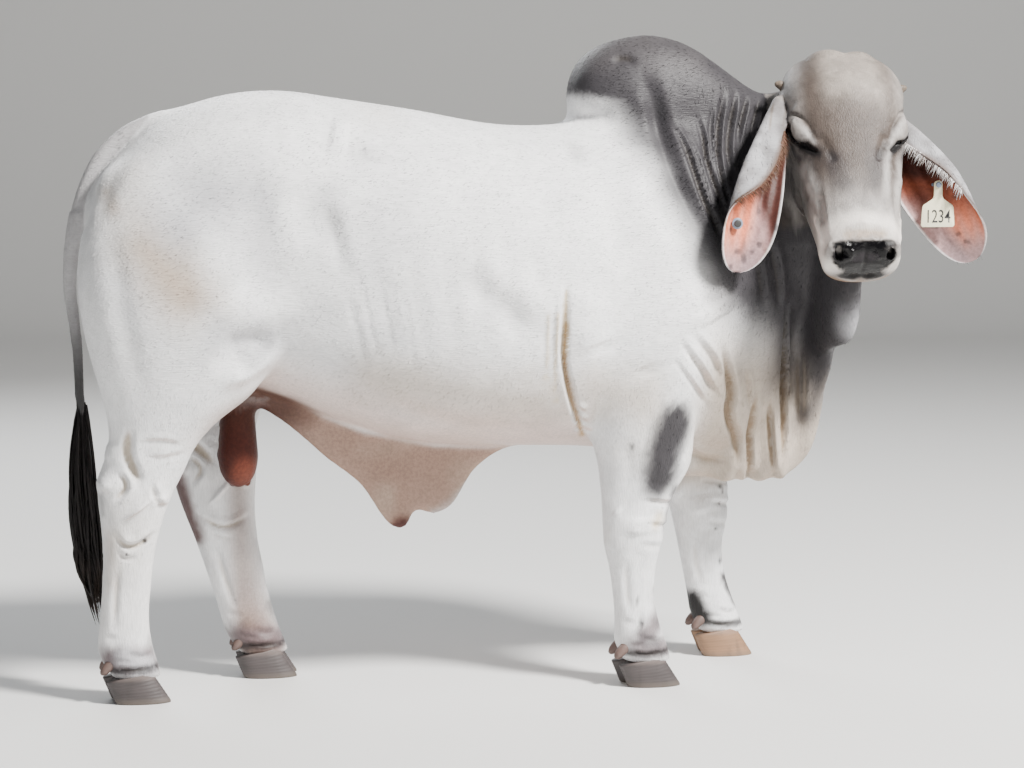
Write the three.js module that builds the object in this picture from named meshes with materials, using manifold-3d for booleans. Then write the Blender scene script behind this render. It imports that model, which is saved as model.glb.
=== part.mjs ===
// A grey Brahman bull, life size, standing with its head turned over its right side.
// Millimetres, +Z up. The body's front end is towards +X, its left side towards +Y, and the floor is z = 0.
// The flesh is modelled whole from lofts and then parted by thin plane cuts into its named parts.
import * as THREE from "three";
import { LoftGeometry } from "three/addons/geometries/LoftGeometry.js";
import { mergeVertices } from "three/addons/utils/BufferGeometryUtils.js";
import Module from "manifold-3d";

const wasm = await Module();
wasm.setup();

// Driving dimensions
const HIP_HEIGHT = 1503; // floor to the top of the hips
const HUMP_HEIGHT = 1646; // floor to the top of the hump
const CHEST_FLOOR = 590; // floor to the underside of the chest
const BARREL_WIDTH = 720; // across the ribs
const RUMP_X = -935; // rearmost point of the rump
const HEAD_LENGTH = 596; // poll to the front of the lips
const HEAD_POLL = [954, -184, 1595]; // where the poll meets the forehead
const HEAD_YAW = 6.8; // degrees the face points back from straight out to the right
const HEAD_PITCH = 52; // degrees the face points down
const HEAD_ROLL = 1.5; // degrees the poll leans to the bull's right
const EAR_THICKNESS = 7;
const EYE_RADIUS = 20;
const CLAW_LENGTH = 138; // one claw of a hoof at the floor
const CLAW_WIDTH = 66;
const CLAW_HEIGHT = 74;
const CUT_GAP = 0.5; // thin cut between two parts

// Finishes
const finish = (color, roughness, metalness = 0) =>
  new THREE.MeshStandardMaterial({ color, roughness, metalness });
const COATS = {
  pale: finish(0xe6e4e0, 0.85),
  grey: finish(0x77767a, 0.85),
  face: finish(0xa8a29c, 0.85),
  legs: finish(0xdedad4, 0.85),
  bare: finish(0xb08a78, 0.6),
  ear: finish(0xd8b8ae, 0.75),
  eye: finish(0x14100d, 0.12),
  nose: finish(0x2a2628, 0.35),
  horn: finish(0x8a7a64, 0.6),
  hoof: finish(0x6f625c, 0.5),
  hair: finish(0x0e0d0e, 0.7),
  tag: finish(0xeee6c4, 0.45),
  button: finish(0x8e97a4, 0.4),
};

// Solids

// A three.js geometry as a solid: shared vertices merged, only positions kept.
function solid(geometry) {
  const plain = new THREE.BufferGeometry();
  plain.setAttribute("position", geometry.attributes.position);
  plain.setIndex(geometry.index);
  const merged = mergeVertices(plain, 1e-3);
  const index = merged.index.array;
  const kept = [];
  for (let i = 0; i < index.length; i += 3) {
    const [a, b, c] = [index[i], index[i + 1], index[i + 2]];
    if (a !== b && b !== c && a !== c) kept.push(a, b, c);
  }
  const mesh = new wasm.Mesh({
    numProp: 3,
    vertProperties: new Float32Array(merged.attributes.position.array),
    triVerts: new Uint32Array(kept),
  });
  const made = new wasm.Manifold(mesh);
  if (made.volume() > 0) return made;
  for (let i = 0; i < kept.length; i += 3) [kept[i + 1], kept[i + 2]] = [kept[i + 2], kept[i + 1]];
  mesh.triVerts = new Uint32Array(kept);
  return new wasm.Manifold(mesh);
}

const join = (...solids) => solids.reduce((all, next) => all.add(next));

// The largest closed piece of a solid.
function largest(piece) {
  return piece.decompose().reduce((best, p) => (p.volume() > best.volume() ? p : best));
}

// A solid back as a named three.js mesh.
function node(name, piece, material) {
  const { vertProperties, triVerts, numProp } = largest(piece).getMesh();
  const positions = new Float32Array((vertProperties.length / numProp) * 3);
  for (let i = 0; i < positions.length / 3; i++)
    positions.set(vertProperties.subarray(i * numProp, i * numProp + 3), i * 3);
  const geometry = new THREE.BufferGeometry();
  geometry.setAttribute("position", new THREE.BufferAttribute(positions, 3));
  geometry.setIndex(new THREE.BufferAttribute(new Uint32Array(triVerts), 1));
  geometry.computeVertexNormals();
  const mesh = new THREE.Mesh(geometry, material);
  mesh.name = name;
  return mesh;
}

// A block from its lowest to its highest corner.
function block([x0, y0, z0], [x1, y1, z1]) {
  const box = new THREE.BoxGeometry(x1 - x0, y1 - y0, z1 - z0);
  return solid(box.translate((x0 + x1) / 2, (y0 + y1) / 2, (z0 + z1) / 2));
}

// A prism over an outline of x and z, as wide as width across Y.
function prism(outline, width) {
  const shape = new THREE.Shape(outline.map(([x, z]) => new THREE.Vector2(x, z)));
  const extruded = new THREE.ExtrudeGeometry(shape, { depth: width, bevelEnabled: false });
  return solid(extruded.rotateX(Math.PI / 2).translate(0, width / 2, 0));
}

// A solid remade with its corners moved by a matrix.
function moved(piece, matrix) {
  const mesh = piece.getMesh();
  const corners = new THREE.BufferAttribute(mesh.vertProperties, mesh.numProp).applyMatrix4(matrix);
  return new wasm.Manifold(
    new wasm.Mesh({ numProp: 3, vertProperties: corners.array, triVerts: mesh.triVerts }),
  );
}

// A solid made larger by about the gap on every side.
function grow(piece, gap) {
  const { min, max } = piece.boundingBox();
  const middle = [0, 1, 2].map((i) => (min[i] + max[i]) / 2);
  const factor = [0, 1, 2].map((i) => 1 + (2 * gap) / (max[i] - min[i]));
  const larger = new THREE.Matrix4().makeTranslation(...middle);
  larger.scale(new THREE.Vector3(...factor));
  return moved(piece, larger.multiply(new THREE.Matrix4().makeTranslation(...middle.map((m) => -m))));
}

// What a solid keeps when a neighbour is cut out of it, also as shifted by the gap along each direction.
const clearOf = (piece, neighbour, directions) =>
  directions.reduce(
    (left, [x, y, z]) =>
      left.subtract(moved(neighbour, new THREE.Matrix4().makeTranslation(x * CUT_GAP, y * CUT_GAP, z * CUT_GAP))),
    piece.subtract(neighbour),
  );

// Parts a solid at the faces of a region: [what lies in it, what lies outside it].
const part = (whole, region) => [whole.intersect(region), whole.subtract(grow(region, CUT_GAP))];

// Parts a solid at heights, from the top down.
function slices(whole, heights) {
  const levels = [4000, ...heights, -4000];
  return levels.slice(1).map((low, i) => {
    const top = levels[i] - (i ? CUT_GAP : 0);
    return whole.intersect(block([-4000, -4000, low], [4000, 4000, top]));
  });
}

// Lofts

const power = (value, exponent) => Math.sign(value) * Math.abs(value) ** exponent;

// Rows of a table, read along their own length by a smooth cubic.
function along(rows, count, lengthOf) {
  const at = [0];
  for (let i = 1; i < rows.length; i++) at.push(at[i - 1] + lengthOf(rows[i - 1], rows[i]));
  const smooth = new THREE.CubicInterpolant(at, rows.flat(), rows[0].length);
  return Array.from({ length: count }, (_, i) =>
    Array.from(smooth.evaluate((at.at(-1) * i) / (count - 1))),
  );
}

// A closed ring about a centre: a half-width to each side, one half-height up and another down.
function ring(centre, side, up, half, above, below, around, squareness) {
  const points = [];
  for (let i = 0; i < around; i++) {
    const angle = (i / around) * 2 * Math.PI;
    const across = half * power(Math.cos(angle), 2 / squareness);
    const high = power(Math.sin(angle), 2 / squareness) * (Math.sin(angle) > 0 ? above : below);
    points.push(centre.clone().addScaledVector(side, across).addScaledVector(up, high));
  }
  return points;
}

// A loft through closed rings, its two ends closed from one side of the ring to the other.
function capped(sections) {
  const loft = new LoftGeometry(sections);
  const around = sections[0].length;
  const index = [...loft.index.array];
  const close = (row, first, second) => {
    const at = (i) => row * (around + 1) + i;
    let [i, j] = [0, around - 1];
    while (j - i > 1) {
      index.push(at(i + first), at(i + second), at(j));
      i += 1;
      if (j - i > 1) {
        index.push(at(first ? j - 1 : i), at(first ? i : j - 1), at(j));
        j -= 1;
      }
    }
  };
  close(0, 1, 0);
  close(sections.length - 1, 0, 1);
  return solid(loft.setIndex(index));
}

const Y = new THREE.Vector3(0, 1, 0);
const Z = new THREE.Vector3(0, 0, 1);

// A body form along X: rows of x, top, bottom, half-width and the height of the widest place.
function trunkLoft(rows, count, around, squareness) {
  const sections = along(rows, count, (a, b) => Math.abs(b[0] - a[0])).map(
    ([x, top, bottom, half, widest]) =>
      ring(new THREE.Vector3(x, 0, widest), Y, Z, half, top - widest, widest - bottom, around, squareness),
  );
  return capped(sections);
}

// A leg along Z: rows of height, rear x, front x, middle y and half-width.
function legLoft(rows, count, around, squareness) {
  const forward = new THREE.Vector3(1, 0, 0);
  const sections = along(rows, count, (a, b) => Math.abs(b[0] - a[0])).map(
    ([z, rear, front, y, half]) => {
      const reach = (front - rear) / 2;
      const centre = new THREE.Vector3((front + rear) / 2, y, z);
      return ring(centre, Y, forward, half, reach, reach, around, squareness);
    },
  );
  return capped(sections);
}

// A limb along a bent path: rows of x, y, z, half-width, half-height above and half-height below.
function pathLoft(rows, count, around, squareness, swell = () => 0) {
  const stations = along(rows, count, (a, b) => Math.hypot(b[0] - a[0], b[1] - a[1], b[2] - a[2]));
  const points = stations.map((s) => new THREE.Vector3(s[0], s[1], s[2]));
  const sections = stations.map(([, , , half, above, below], i) => {
    const ahead = points[Math.min(i + 1, count - 1)].clone().sub(points[Math.max(i - 1, 0)]).normalize();
    const reference = Math.abs(ahead.z) > 0.9 ? new THREE.Vector3(-1, 0, 0) : Z;
    const side = new THREE.Vector3().crossVectors(reference, ahead).normalize();
    const up = new THREE.Vector3().crossVectors(ahead, side).normalize();
    const more = swell(i / (count - 1));
    return ring(points[i], side, up, half + more, above + more, below + more, around, squareness);
  });
  return capped(sections);
}

// A hanging fold of skin along a plan path: rows of x, y, top, bottom and half-thickness.
// The pleats swing it from side to side, more towards its lower edge.
function foldLoft(rows, count, around, pleat, pleatLength) {
  const stations = along(rows, count, (a, b) => Math.hypot(b[0] - a[0], b[1] - a[1]));
  let walked = 0;
  const sections = stations.map(([x, y, top, bottom, half], i) => {
    const before = stations[Math.max(i - 1, 0)];
    const after = stations[Math.min(i + 1, count - 1)];
    const ahead = new THREE.Vector3(after[0] - before[0], after[1] - before[1], 0).normalize();
    const side = new THREE.Vector3().crossVectors(Z, ahead);
    if (i) walked += Math.hypot(x - stations[i - 1][0], y - stations[i - 1][1]);
    const centre = new THREE.Vector3(x, y, (top + bottom) / 2);
    const points = ring(centre, side, Z, half, (top - bottom) / 2, (top - bottom) / 2, around, 2.6);
    const swing = pleat * Math.sin((2 * Math.PI * walked) / pleatLength);
    for (const p of points) p.addScaledVector(side, (swing * (top - p.z)) / (top - bottom));
    return points;
  });
  return capped(sections);
}

function ellipsoid(centre, radii, around = 16, down = 12) {
  return solid(new THREE.SphereGeometry(1, around, down).scale(...radii).translate(...centre));
}

// Trunk, hump and neck

function trunk() {
  const half = BARREL_WIDTH / 2;
  return trunkLoft(
    [
      [RUMP_X, 1270, 1130, 50, 1200],
      [-900, 1345, 1030, 150, 1200],
      [-850, 1400, 930, 200, 1190],
      [-760, 1445, 860, 255, 1180],
      [-620, 1483, 790, 295, 1180],
      [-460, HIP_HEIGHT, 735, 318, 1150],
      [-300, 1483, 672, 332, 1080],
      [-120, 1457, 620, half - 6, 1010],
      [120, 1417, 600, half, 980],
      [340, 1425, CHEST_FLOOR, half - 32, 990],
      [520, 1450, 560, 288, 1010],
      [680, 1430, 560, 245, 1040],
      [800, 1370, 640, 190, 1060],
      [860, 1280, 760, 120, 1060],
    ],
    20,
    22,
    2.25,
  );
}

function hump() {
  return trunkLoft(
    [
      [286, 1520, 1455, 45, 1488],
      [304, 1568, 1415, 84, 1480],
      [350, 1610, 1380, 118, 1470],
      [420, 1636, 1345, 136, 1460],
      [510, HUMP_HEIGHT, 1320, 142, 1450],
      [600, 1622, 1310, 138, 1440],
      [680, 1572, 1300, 126, 1430],
      [760, 1516, 1290, 108, 1410],
      [850, 1470, 1280, 80, 1390],
    ],
    13,
    16,
    2.1,
  );
}

const NECK_ROWS = [
  [500, 0, 1120, 245, 320, 400],
  [690, 0, 1170, 215, 335, 380],
  [810, -12, 1225, 186, 305, 300],
  [892, -45, 1292, 160, 240, 220],
  [940, -92, 1362, 142, 190, 160],
  [962, -142, 1418, 128, 150, 125],
];

function neck() {
  const folds = 4;
  return pathLoft(NECK_ROWS, 19, 16, 2.15, (t) => (t > 0.3 ? 6 * Math.sin(2 * Math.PI * folds * t) : 0));
}

function dewlap() {
  return foldLoft(
    [
      [400, 0, 800, 582, 100],
      [550, -8, 850, 520, 84],
      [680, -18, 950, 494, 72],
      [790, -30, 1050, 486, 62],
      [876, -46, 1120, 508, 54],
      [926, -78, 1170, 590, 46],
      [926, -120, 1220, 700, 38],
      [922, -170, 1260, 800, 36],
      [938, -225, 1250, 842, 38],
      [950, -275, 1220, 862, 36],
      [952, -318, 1170, 985, 24],
    ],
    24,
    12,
    18,
    118,
  );
}

// The sheath under the belly, with its opening at the lowest point.
function sheath() {
  return foldLoft(
    [
      [-560, 0, 860, 735, 22],
      [-440, 0, 860, 664, 30],
      [-340, 0, 860, 575, 32],
      [-245, 0, 840, 498, 34],
      [-195, 0, 820, 420, 30],
      [-166, 0, 800, 389, 27],
      [-126, 0, 800, 389, 27],
      [-108, 0, 800, 430, 25],
      [-60, 0, 800, 419, 27],
      [-6, 0, 790, 446, 28],
      [44, 0, 780, 528, 30],
      [125, 0, 760, 585, 34],
      [235, 0, 720, 602, 30],
    ],
    19,
    10,
    0,
    100,
  );
}

function scrotum() {
  return pathLoft(
    [
      [-556, 0, 800, 46, 42, 42],
      [-556, 0, 700, 50, 46, 46],
      [-556, 0, 620, 62, 52, 52],
      [-556, 0, 550, 66, 54, 54],
      [-557, 0, 512, 50, 42, 42],
      [-557, 0, 499, 16, 14, 14],
    ],
    12,
    14,
    2.1,
  );
}

// Legs: each row is height, rear x, front x, middle y and half-width.

const NEAR = -1; // the side towards -Y, the bull's right
const FAR = 1;

const HIND = {
  [NEAR]: [
    [1330, -840, -500, 150, 90],
    [1180, -935, -440, 172, 138],
    [1040, -957, -425, 184, 148],
    [930, -946, -440, 190, 142],
    [850, -932, -470, 190, 122],
    [760, -905, -530, 186, 98],
    [690, -888, -620, 178, 80],
    [630, -888, -672, 168, 68],
    [570, -908, -700, 158, 62],
    [510, -913, -730, 150, 66],
    [450, -907, -752, 145, 62],
    [370, -902, -772, 140, 50],
    [280, -906, -783, 136, 46],
    [200, -912, -788, 132, 47],
    [135, -918, -780, 129, 55],
    [95, -905, -768, 128, 58],
    [58, -880, -756, 128, 56],
  ],
  [FAR]: [
    [1330, -840, -500, 150, 90],
    [1180, -935, -420, 172, 138],
    [1040, -950, -395, 184, 148],
    [930, -915, -395, 188, 140],
    [850, -870, -410, 186, 122],
    [760, -800, -440, 180, 98],
    [690, -765, -475, 172, 82],
    [630, -735, -495, 160, 70],
    [570, -718, -494, 150, 64],
    [500, -708, -497, 142, 66],
    [440, -690, -500, 137, 62],
    [360, -660, -495, 132, 52],
    [280, -633, -480, 128, 47],
    [200, -608, -464, 124, 47],
    [135, -590, -446, 121, 55],
    [95, -572, -430, 120, 58],
    [58, -545, -415, 120, 56],
  ],
};

const FORE = {
  [NEAR]: [
    [1330, 350, 540, 150, 60],
    [1180, 305, 625, 190, 92],
    [1040, 272, 665, 208, 112],
    [930, 258, 672, 212, 118],
    [830, 262, 645, 206, 116],
    [740, 284, 590, 198, 104],
    [650, 305, 577, 190, 88],
    [560, 328, 568, 184, 72],
    [480, 338, 524, 180, 60],
    [420, 342, 508, 178, 60],
    [360, 346, 497, 176, 60],
    [300, 360, 483, 175, 47],
    [220, 371, 481, 174, 44],
    [160, 375, 492, 174, 50],
    [115, 374, 508, 174, 56],
    [60, 398, 524, 174, 58],
  ],
  [FAR]: [
    [1330, 350, 540, 150, 60],
    [1180, 320, 640, 190, 92],
    [1040, 300, 700, 208, 112],
    [930, 310, 720, 212, 118],
    [830, 345, 724, 206, 116],
    [740, 400, 722, 198, 104],
    [650, 460, 738, 190, 88],
    [560, 520, 758, 182, 72],
    [480, 572, 768, 176, 60],
    [420, 600, 768, 173, 60],
    [360, 616, 764, 171, 60],
    [300, 628, 752, 170, 47],
    [220, 644, 760, 169, 44],
    [160, 656, 778, 169, 50],
    [115, 664, 796, 169, 56],
    [60, 690, 816, 169, 58],
  ],
};

// The rows of a leg, put on its own side of the body.
const onSide = (rows, side) => rows.map(([z, rear, front, y, half]) => [z, rear, front, side * y, half]);

const leg = (rows, side) => legLoft(onSide(rows, side), 15, 12, 2.2);

// One claw: sole flat on the floor, the wall sloping back to the coronet.
function claw(toe, y, side) {
  const steps = 4;
  const around = 12;
  const sections = [];
  for (let i = 0; i <= steps; i++) {
    const t = i / steps;
    const reach = (CLAW_LENGTH / 2) * (1 - 0.2 * t);
    const middle = toe - CLAW_LENGTH / 2 - 36 * t;
    const points = [];
    for (let k = 0; k < around; k++) {
      const angle = (k / around) * 2 * Math.PI;
      const front = Math.cos(angle);
      const narrowing = 1 - 0.26 * Math.max(front, 0) ** 2;
      const across = power(Math.sin(angle), 0.8) * (CLAW_WIDTH / 2) * (1 - 0.1 * t) * narrowing;
      const inner = across * side < 0 ? 0.76 : 1;
      const height = t * (CLAW_HEIGHT * (1 + 0.16 * front) - 8);
      points.push(new THREE.Vector3(middle + reach * power(front, 0.85), y + across * inner, height));
    }
    sections.push(points);
  }
  return capped(sections);
}

// The two claws of a foot: [outer, inner].
function claws(foot, side) {
  const apart = (CLAW_WIDTH / 2) * 0.76 + 4;
  return [claw(foot.toe, side * foot.y + side * apart, side), claw(foot.toe - 6, side * foot.y - side * apart, -side)];
}

function dewclaw(x, y, z, side) {
  return pathLoft(
    [
      [x + 30, y - 6 * side, z + 14, 14, 13, 13],
      [x + 14, y, z, 16, 15, 15],
      [x - 2, y + 3 * side, z - 14, 14, 12, 12],
      [x - 10, y + 4 * side, z - 25, 7, 6, 6],
    ],
    5,
    8,
    2.2,
  );
}

// The two dewclaws behind a pastern: [outer, inner].
const dewclaws = (foot, side) => [
  dewclaw(foot.heel + 8, side * foot.y + side * 30, 98, side),
  dewclaw(foot.heel + 8, side * foot.y - side * 30, 98, -side),
];

// Tail

const DOCK_ROWS = [
  [-690, 0, 1420, 52, 44, 54],
  [-760, 0, 1410, 46, 36, 46],
  [-818, 0, 1378, 36, 28, 34],
  [-868, 0, 1326, 30, 26, 28],
  [-908, 0, 1262, 26, 24, 24],
  [-940, 0, 1180, 23, 22, 22],
  [-958, 0, 1090, 21, 20, 20],
  [-964, 0, 1000, 18, 17, 17],
  [-961, 0, 900, 15, 14, 14],
  [-951, 0, 780, 13, 12, 12],
  [-940, 0, 660, 12, 11, 11],
  [-936, 0, 560, 12, 11, 11],
  [-938, 0, 440, 8, 8, 8],
];

// A lock of hair: flat, tapered, hanging from its root with a bend.
function lock(root, lean, length, width, thick) {
  const steps = 4;
  const out = new THREE.Vector3(Math.cos(lean), Math.sin(lean), 0);
  const across = new THREE.Vector3().crossVectors(Z, out);
  const sections = [];
  for (let i = 0; i <= steps; i++) {
    const t = i / steps;
    const spread = 27 * Math.sin(Math.PI * Math.min(t * 1.15, 1)) * (1 - 0.35 * t);
    const centre = new THREE.Vector3(...root).addScaledVector(out, spread);
    centre.add(new THREE.Vector3(22 * t * t, 0, -length * t));
    const wide = width * (1 - 0.86 * t ** 1.6);
    const deep = thick * (1 - 0.7 * t);
    sections.push(ring(centre, across, out, wide, deep, deep, 4, 2));
  }
  return capped(sections);
}

// A small repeatable random draw.
function seeded(seed) {
  let state = seed;
  return () => {
    state = (state * 16807) % 2147483647;
    return state / 2147483647;
  };
}

function tailSwitch() {
  const draw = seeded(41);
  const tiers = 2;
  const perTier = 5;
  let hair = pathLoft(
    [
      [-940, 0, 640, 12, 12, 12],
      [-936, 0, 560, 20, 19, 19],
      [-932, 0, 470, 24, 22, 22],
      [-928, 0, 400, 12, 11, 11],
    ],
    6,
    8,
    2,
  );
  for (let tier = 0; tier < tiers; tier++)
    for (let i = 0; i < perTier; i++) {
      const lean = ((i + 0.5 * (tier % 2)) / perTier) * 2 * Math.PI + 0.3 * (draw() - 0.5);
      const height = 620 - 90 * tier;
      const length = 300 + 42 * tier * draw() + 60 * draw();
      const root = [-934 + 6 * Math.cos(lean), 6 * Math.sin(lean), height];
      hair = hair.add(lock(root, lean, Math.min(length, height - 158), 17 + 4 * draw(), 5));
    }
  return hair;
}

// Head, in its own frame: X to the bull's left, Y out of the forehead, Z from the poll to the muzzle.

const radians = THREE.MathUtils.degToRad;
const yaw = radians(HEAD_YAW);
const pitch = radians(HEAD_PITCH);
const ahead = new THREE.Vector3(-Math.sin(yaw), -Math.cos(yaw), 0);
const muzzleward = ahead.clone().multiplyScalar(Math.cos(pitch)).addScaledVector(Z, -Math.sin(pitch));
const leftward = new THREE.Vector3().crossVectors(Z, ahead).applyAxisAngle(muzzleward, radians(HEAD_ROLL));
const dorsal = new THREE.Vector3().crossVectors(muzzleward, leftward);
const HEAD_FRAME = new THREE.Matrix4().makeBasis(leftward, dorsal, muzzleward).setPosition(...HEAD_POLL);
const inBody = (piece) => moved(piece, HEAD_FRAME);

// Rows: distance from the poll, dorsal line, ventral line, half-width and the level of the widest place.
const SKULL_ROWS = [
  [-60, -110, -160, 50, -130],
  [-36, -62, -200, 100, -120],
  [-8, -14, -228, 130, -104],
  [40, 12, -250, 151, -88],
  [100, 28, -262, 157, -76],
  [160, 28, -264, 154, -76],
  [232, 18, -262, 144, -90],
  [300, 2, -254, 133, -108],
  [370, -10, -236, 123, -112],
  [435, -16, -218, 112, -110],
  [500, -20, -205, 102, -108],
  [545, -30, -197, 99, -108],
  [576, -48, -186, 91, -110],
  [HEAD_LENGTH - 2, -78, -152, 62, -110],
];

function skull(inset, count, around) {
  const rows = SKULL_ROWS.map(([s, top, bottom, half, widest]) => [
    s,
    top - inset,
    bottom + inset,
    half - inset,
    widest,
  ]);
  const left = new THREE.Vector3(1, 0, 0);
  const sections = along(rows, count, (a, b) => Math.abs(b[0] - a[0])).map(
    ([s, top, bottom, half, widest]) =>
      ring(new THREE.Vector3(0, widest, s), left, Y, half, top - widest, widest - bottom, around, 2.35),
  );
  return capped(sections);
}

const EYE_AT = [122, -52, 232];

// The slit between the lids: two arcs meeting at its corners, pushed out along the eye's axis.
function slit(side) {
  const long = 20;
  const open = 8;
  const shape = new THREE.Shape();
  shape.moveTo(-long, 0);
  shape.quadraticCurveTo(0, 2 * open, long, 0);
  shape.quadraticCurveTo(0, -1.2 * open, -long, 0);
  const hole = new THREE.ExtrudeGeometry(shape, { depth: 60, bevelEnabled: false, curveSegments: 6 });
  hole.rotateZ(Math.PI * 0.06 * side);
  hole.rotateY(Math.PI / 2);
  if (side < 0) hole.rotateY(Math.PI);
  return solid(hole.translate(side * EYE_AT[0], EYE_AT[1], EYE_AT[2]));
}

// The line of the mouth: a thin crescent across the muzzle, cut only as deep as the lips.
function mouthLine() {
  const deep = 10;
  const line = new THREE.Shape();
  line.moveTo(HEAD_LENGTH + 20, -124);
  line.quadraticCurveTo(530, -136, 468, -126);
  line.quadraticCurveTo(530, -145, HEAD_LENGTH + 20, -131);
  const band = new THREE.ExtrudeGeometry(line, { depth: 260, bevelEnabled: false, curveSegments: 8 });
  return solid(band.translate(0, 0, -130).rotateY(-Math.PI / 2)).subtract(skull(deep, 14, 16));
}

function nostril(side) {
  const hollow = new THREE.SphereGeometry(1, 10, 6).scale(11, 21, 22);
  hollow.rotateZ(-0.5 * side).translate(side * 55, -72, HEAD_LENGTH - 24);
  return solid(hollow);
}

function wholeHead() {
  let made = join(
    skull(0, 22, 20),
    ellipsoid([-34, -38, 20], [64, 46, 56], 10, 6), // poll, the bull's right lobe
    ellipsoid([44, -42, 20], [56, 44, 54], 10, 6), // poll, left lobe
    ellipsoid([0, -165, 545], [62, 34, 38], 10, 6), // chin
  );
  for (const side of [-1, 1]) {
    const [x, y, s] = EYE_AT;
    made = join(
      made,
      ellipsoid([side * (x - 12), y + 20, s - 14], [38, 26, 50], 10, 6), // brow
      ellipsoid([side * 76, -178, 262], [60, 84, 120], 10, 6), // cheek
      ellipsoid([side * 52, -74, HEAD_LENGTH - 36], [38, 38, 32], 10, 6), // nostril's wing
      ellipsoid([side * x, y, s], [EYE_RADIUS + 6, EYE_RADIUS + 5, EYE_RADIUS + 8], 10, 6), // lids
    );
  }
  const socket = EYE_RADIUS + 2 * CUT_GAP;
  for (const side of [-1, 1]) {
    const [x, y, s] = EYE_AT;
    made = made.subtract(ellipsoid([side * x, y, s], [socket, socket, socket], 12, 8));
    made = made.subtract(slit(side)).subtract(nostril(side));
  }
  return inBody(made.subtract(mouthLine()));
}

// The space of the head: in front of the neck and above the throat.
function headSpace() {
  const outline = [
    [60, -90],
    [-290, 150],
    [-272, 300],
    [-215, 640],
    [220, 640],
    [220, -90],
  ];
  const shape = new THREE.Shape(outline.map(([y, s]) => new THREE.Vector2(s, y)));
  const extruded = new THREE.ExtrudeGeometry(shape, { depth: 640, bevelEnabled: false });
  return inBody(solid(extruded.translate(0, 0, -320).rotateY(-Math.PI / 2)));
}

function eyeball(side) {
  const ball = new THREE.SphereGeometry(EYE_RADIUS, 12, 8);
  return inBody(solid(ball.translate(side * EYE_AT[0], EYE_AT[1], EYE_AT[2])));
}

// A short blunt scur where a horn would be.
function scur(side) {
  return inBody(
    pathLoft(
      [
        [side * 112, -76, 62, 17, 16, 16],
        [side * 138, -70, 56, 16, 15, 15],
        [side * 158, -64, 50, 12, 11, 11],
        [side * 170, -60, 46, 5, 5, 5],
      ],
      6,
      10,
      2,
    ),
  );
}

// An ear: a long leaf rolled at its root, its hollow side open to the front.
// It hangs from root along a bent middle line, and cup is how far its edges curl forward.
function ear({ root, middle, tip, facing, cup, width, widest, narrow }) {
  const curve = new THREE.QuadraticBezierCurve3(
    new THREE.Vector3(...root),
    new THREE.Vector3(...middle),
    new THREE.Vector3(...tip),
  );
  const rows = 12;
  const columns = 6;
  const sections = [];
  for (let i = 0; i < rows; i++) {
    const t = i / (rows - 1);
    const centre = curve.getPoint(t);
    const down = curve.getTangent(t);
    const front = new THREE.Vector3(...facing).addScaledVector(down, -down.dot(new THREE.Vector3(...facing)));
    front.normalize();
    const across = new THREE.Vector3().crossVectors(down, front);
    const towardsTip = Math.max((t - widest) / (1.02 - widest), 0);
    const rise = THREE.MathUtils.smoothstep(t, -0.1, widest);
    const half = width * THREE.MathUtils.lerp(narrow, 1, rise) * Math.sqrt(1 - towardsTip ** 2);
    const curl = THREE.MathUtils.lerp(2.5, cup, Math.min(t * 2.2, 1));
    const outer = [];
    const inner = [];
    for (let k = 0; k <= columns; k++) {
      const angle = (k / columns - 0.5) * curl;
      const radius = (2 * half) / curl;
      const normal = across.clone().multiplyScalar(Math.sin(angle)).addScaledVector(front, -Math.cos(angle));
      const hub = centre.clone().addScaledVector(front, radius);
      const thick = (EAR_THICKNESS / 2) * (1 - 0.35 * Math.abs(2 * k - columns) / columns);
      outer.push(hub.clone().addScaledVector(normal, radius + thick));
      inner.push(hub.clone().addScaledVector(normal, radius - thick));
    }
    sections.push([...outer, ...inner.reverse()]);
  }
  return capped(sections);
}

const EARS = {
  [NEAR]: {
    root: [800, -160, 1466],
    middle: [676, -350, 1277],
    tip: [648, -312, 1052],
    facing: [0.2, -0.97, 0.1],
    cup: 1.6,
    width: 80,
    widest: 0.7,
    narrow: 0.3,
  },
  [FAR]: {
    root: [1080, -195, 1410],
    middle: [1150, -330, 1280],
    tip: [1280, -268, 1072],
    facing: [-0.35, -0.93, -0.1],
    cup: 1.3,
    width: 90,
    widest: 0.52,
    narrow: 0.5,
  },
};

// Ear tag: a flat panel with a neck, a stud through it and the ear, and a button in the other ear.

const TAG = { at: [1165, -321, 1264], width: 82, height: 71, neck: 22, neckLength: 34, thick: 2.4 };
const STUD = { x: 1165, z: 1264, front: -324.4, back: -269, bar: 4, frontHead: 7, backHead: 13 };
const BUTTON = { x: 641, z: 1172, front: -342, back: -314, bar: 4, frontHead: 14, backHead: 14 };

function tagPanel() {
  const { width, height, neck: narrow, neckLength, thick } = TAG;
  const shape = new THREE.Shape();
  shape.moveTo(-narrow / 2, 0);
  shape.lineTo(-narrow / 2, -neckLength);
  shape.lineTo(-width / 2, -neckLength - 20);
  shape.lineTo(-width / 2 - 3, -neckLength - height);
  shape.lineTo(width / 2 + 3, -neckLength - height);
  shape.lineTo(width / 2, -neckLength - 20);
  shape.lineTo(narrow / 2, -neckLength);
  shape.lineTo(narrow / 2, 0);
  shape.absarc(0, 0, narrow / 2, 0, Math.PI);
  const panel = new THREE.ExtrudeGeometry(shape, { depth: thick, bevelEnabled: false, curveSegments: 6 });
  return solid(panel.rotateX(Math.PI / 2).translate(...TAG.at)).subtract(bore(STUD));
}

const disc = ({ x, z }, radius, from, to) =>
  solid(new THREE.CylinderGeometry(radius, radius, to - from, 14).translate(x, (from + to) / 2, z));

// The hole that a pin goes through.
const bore = (pin) => disc(pin, pin.bar + 0.6, pin.front - 40, pin.back + 40);

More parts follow.
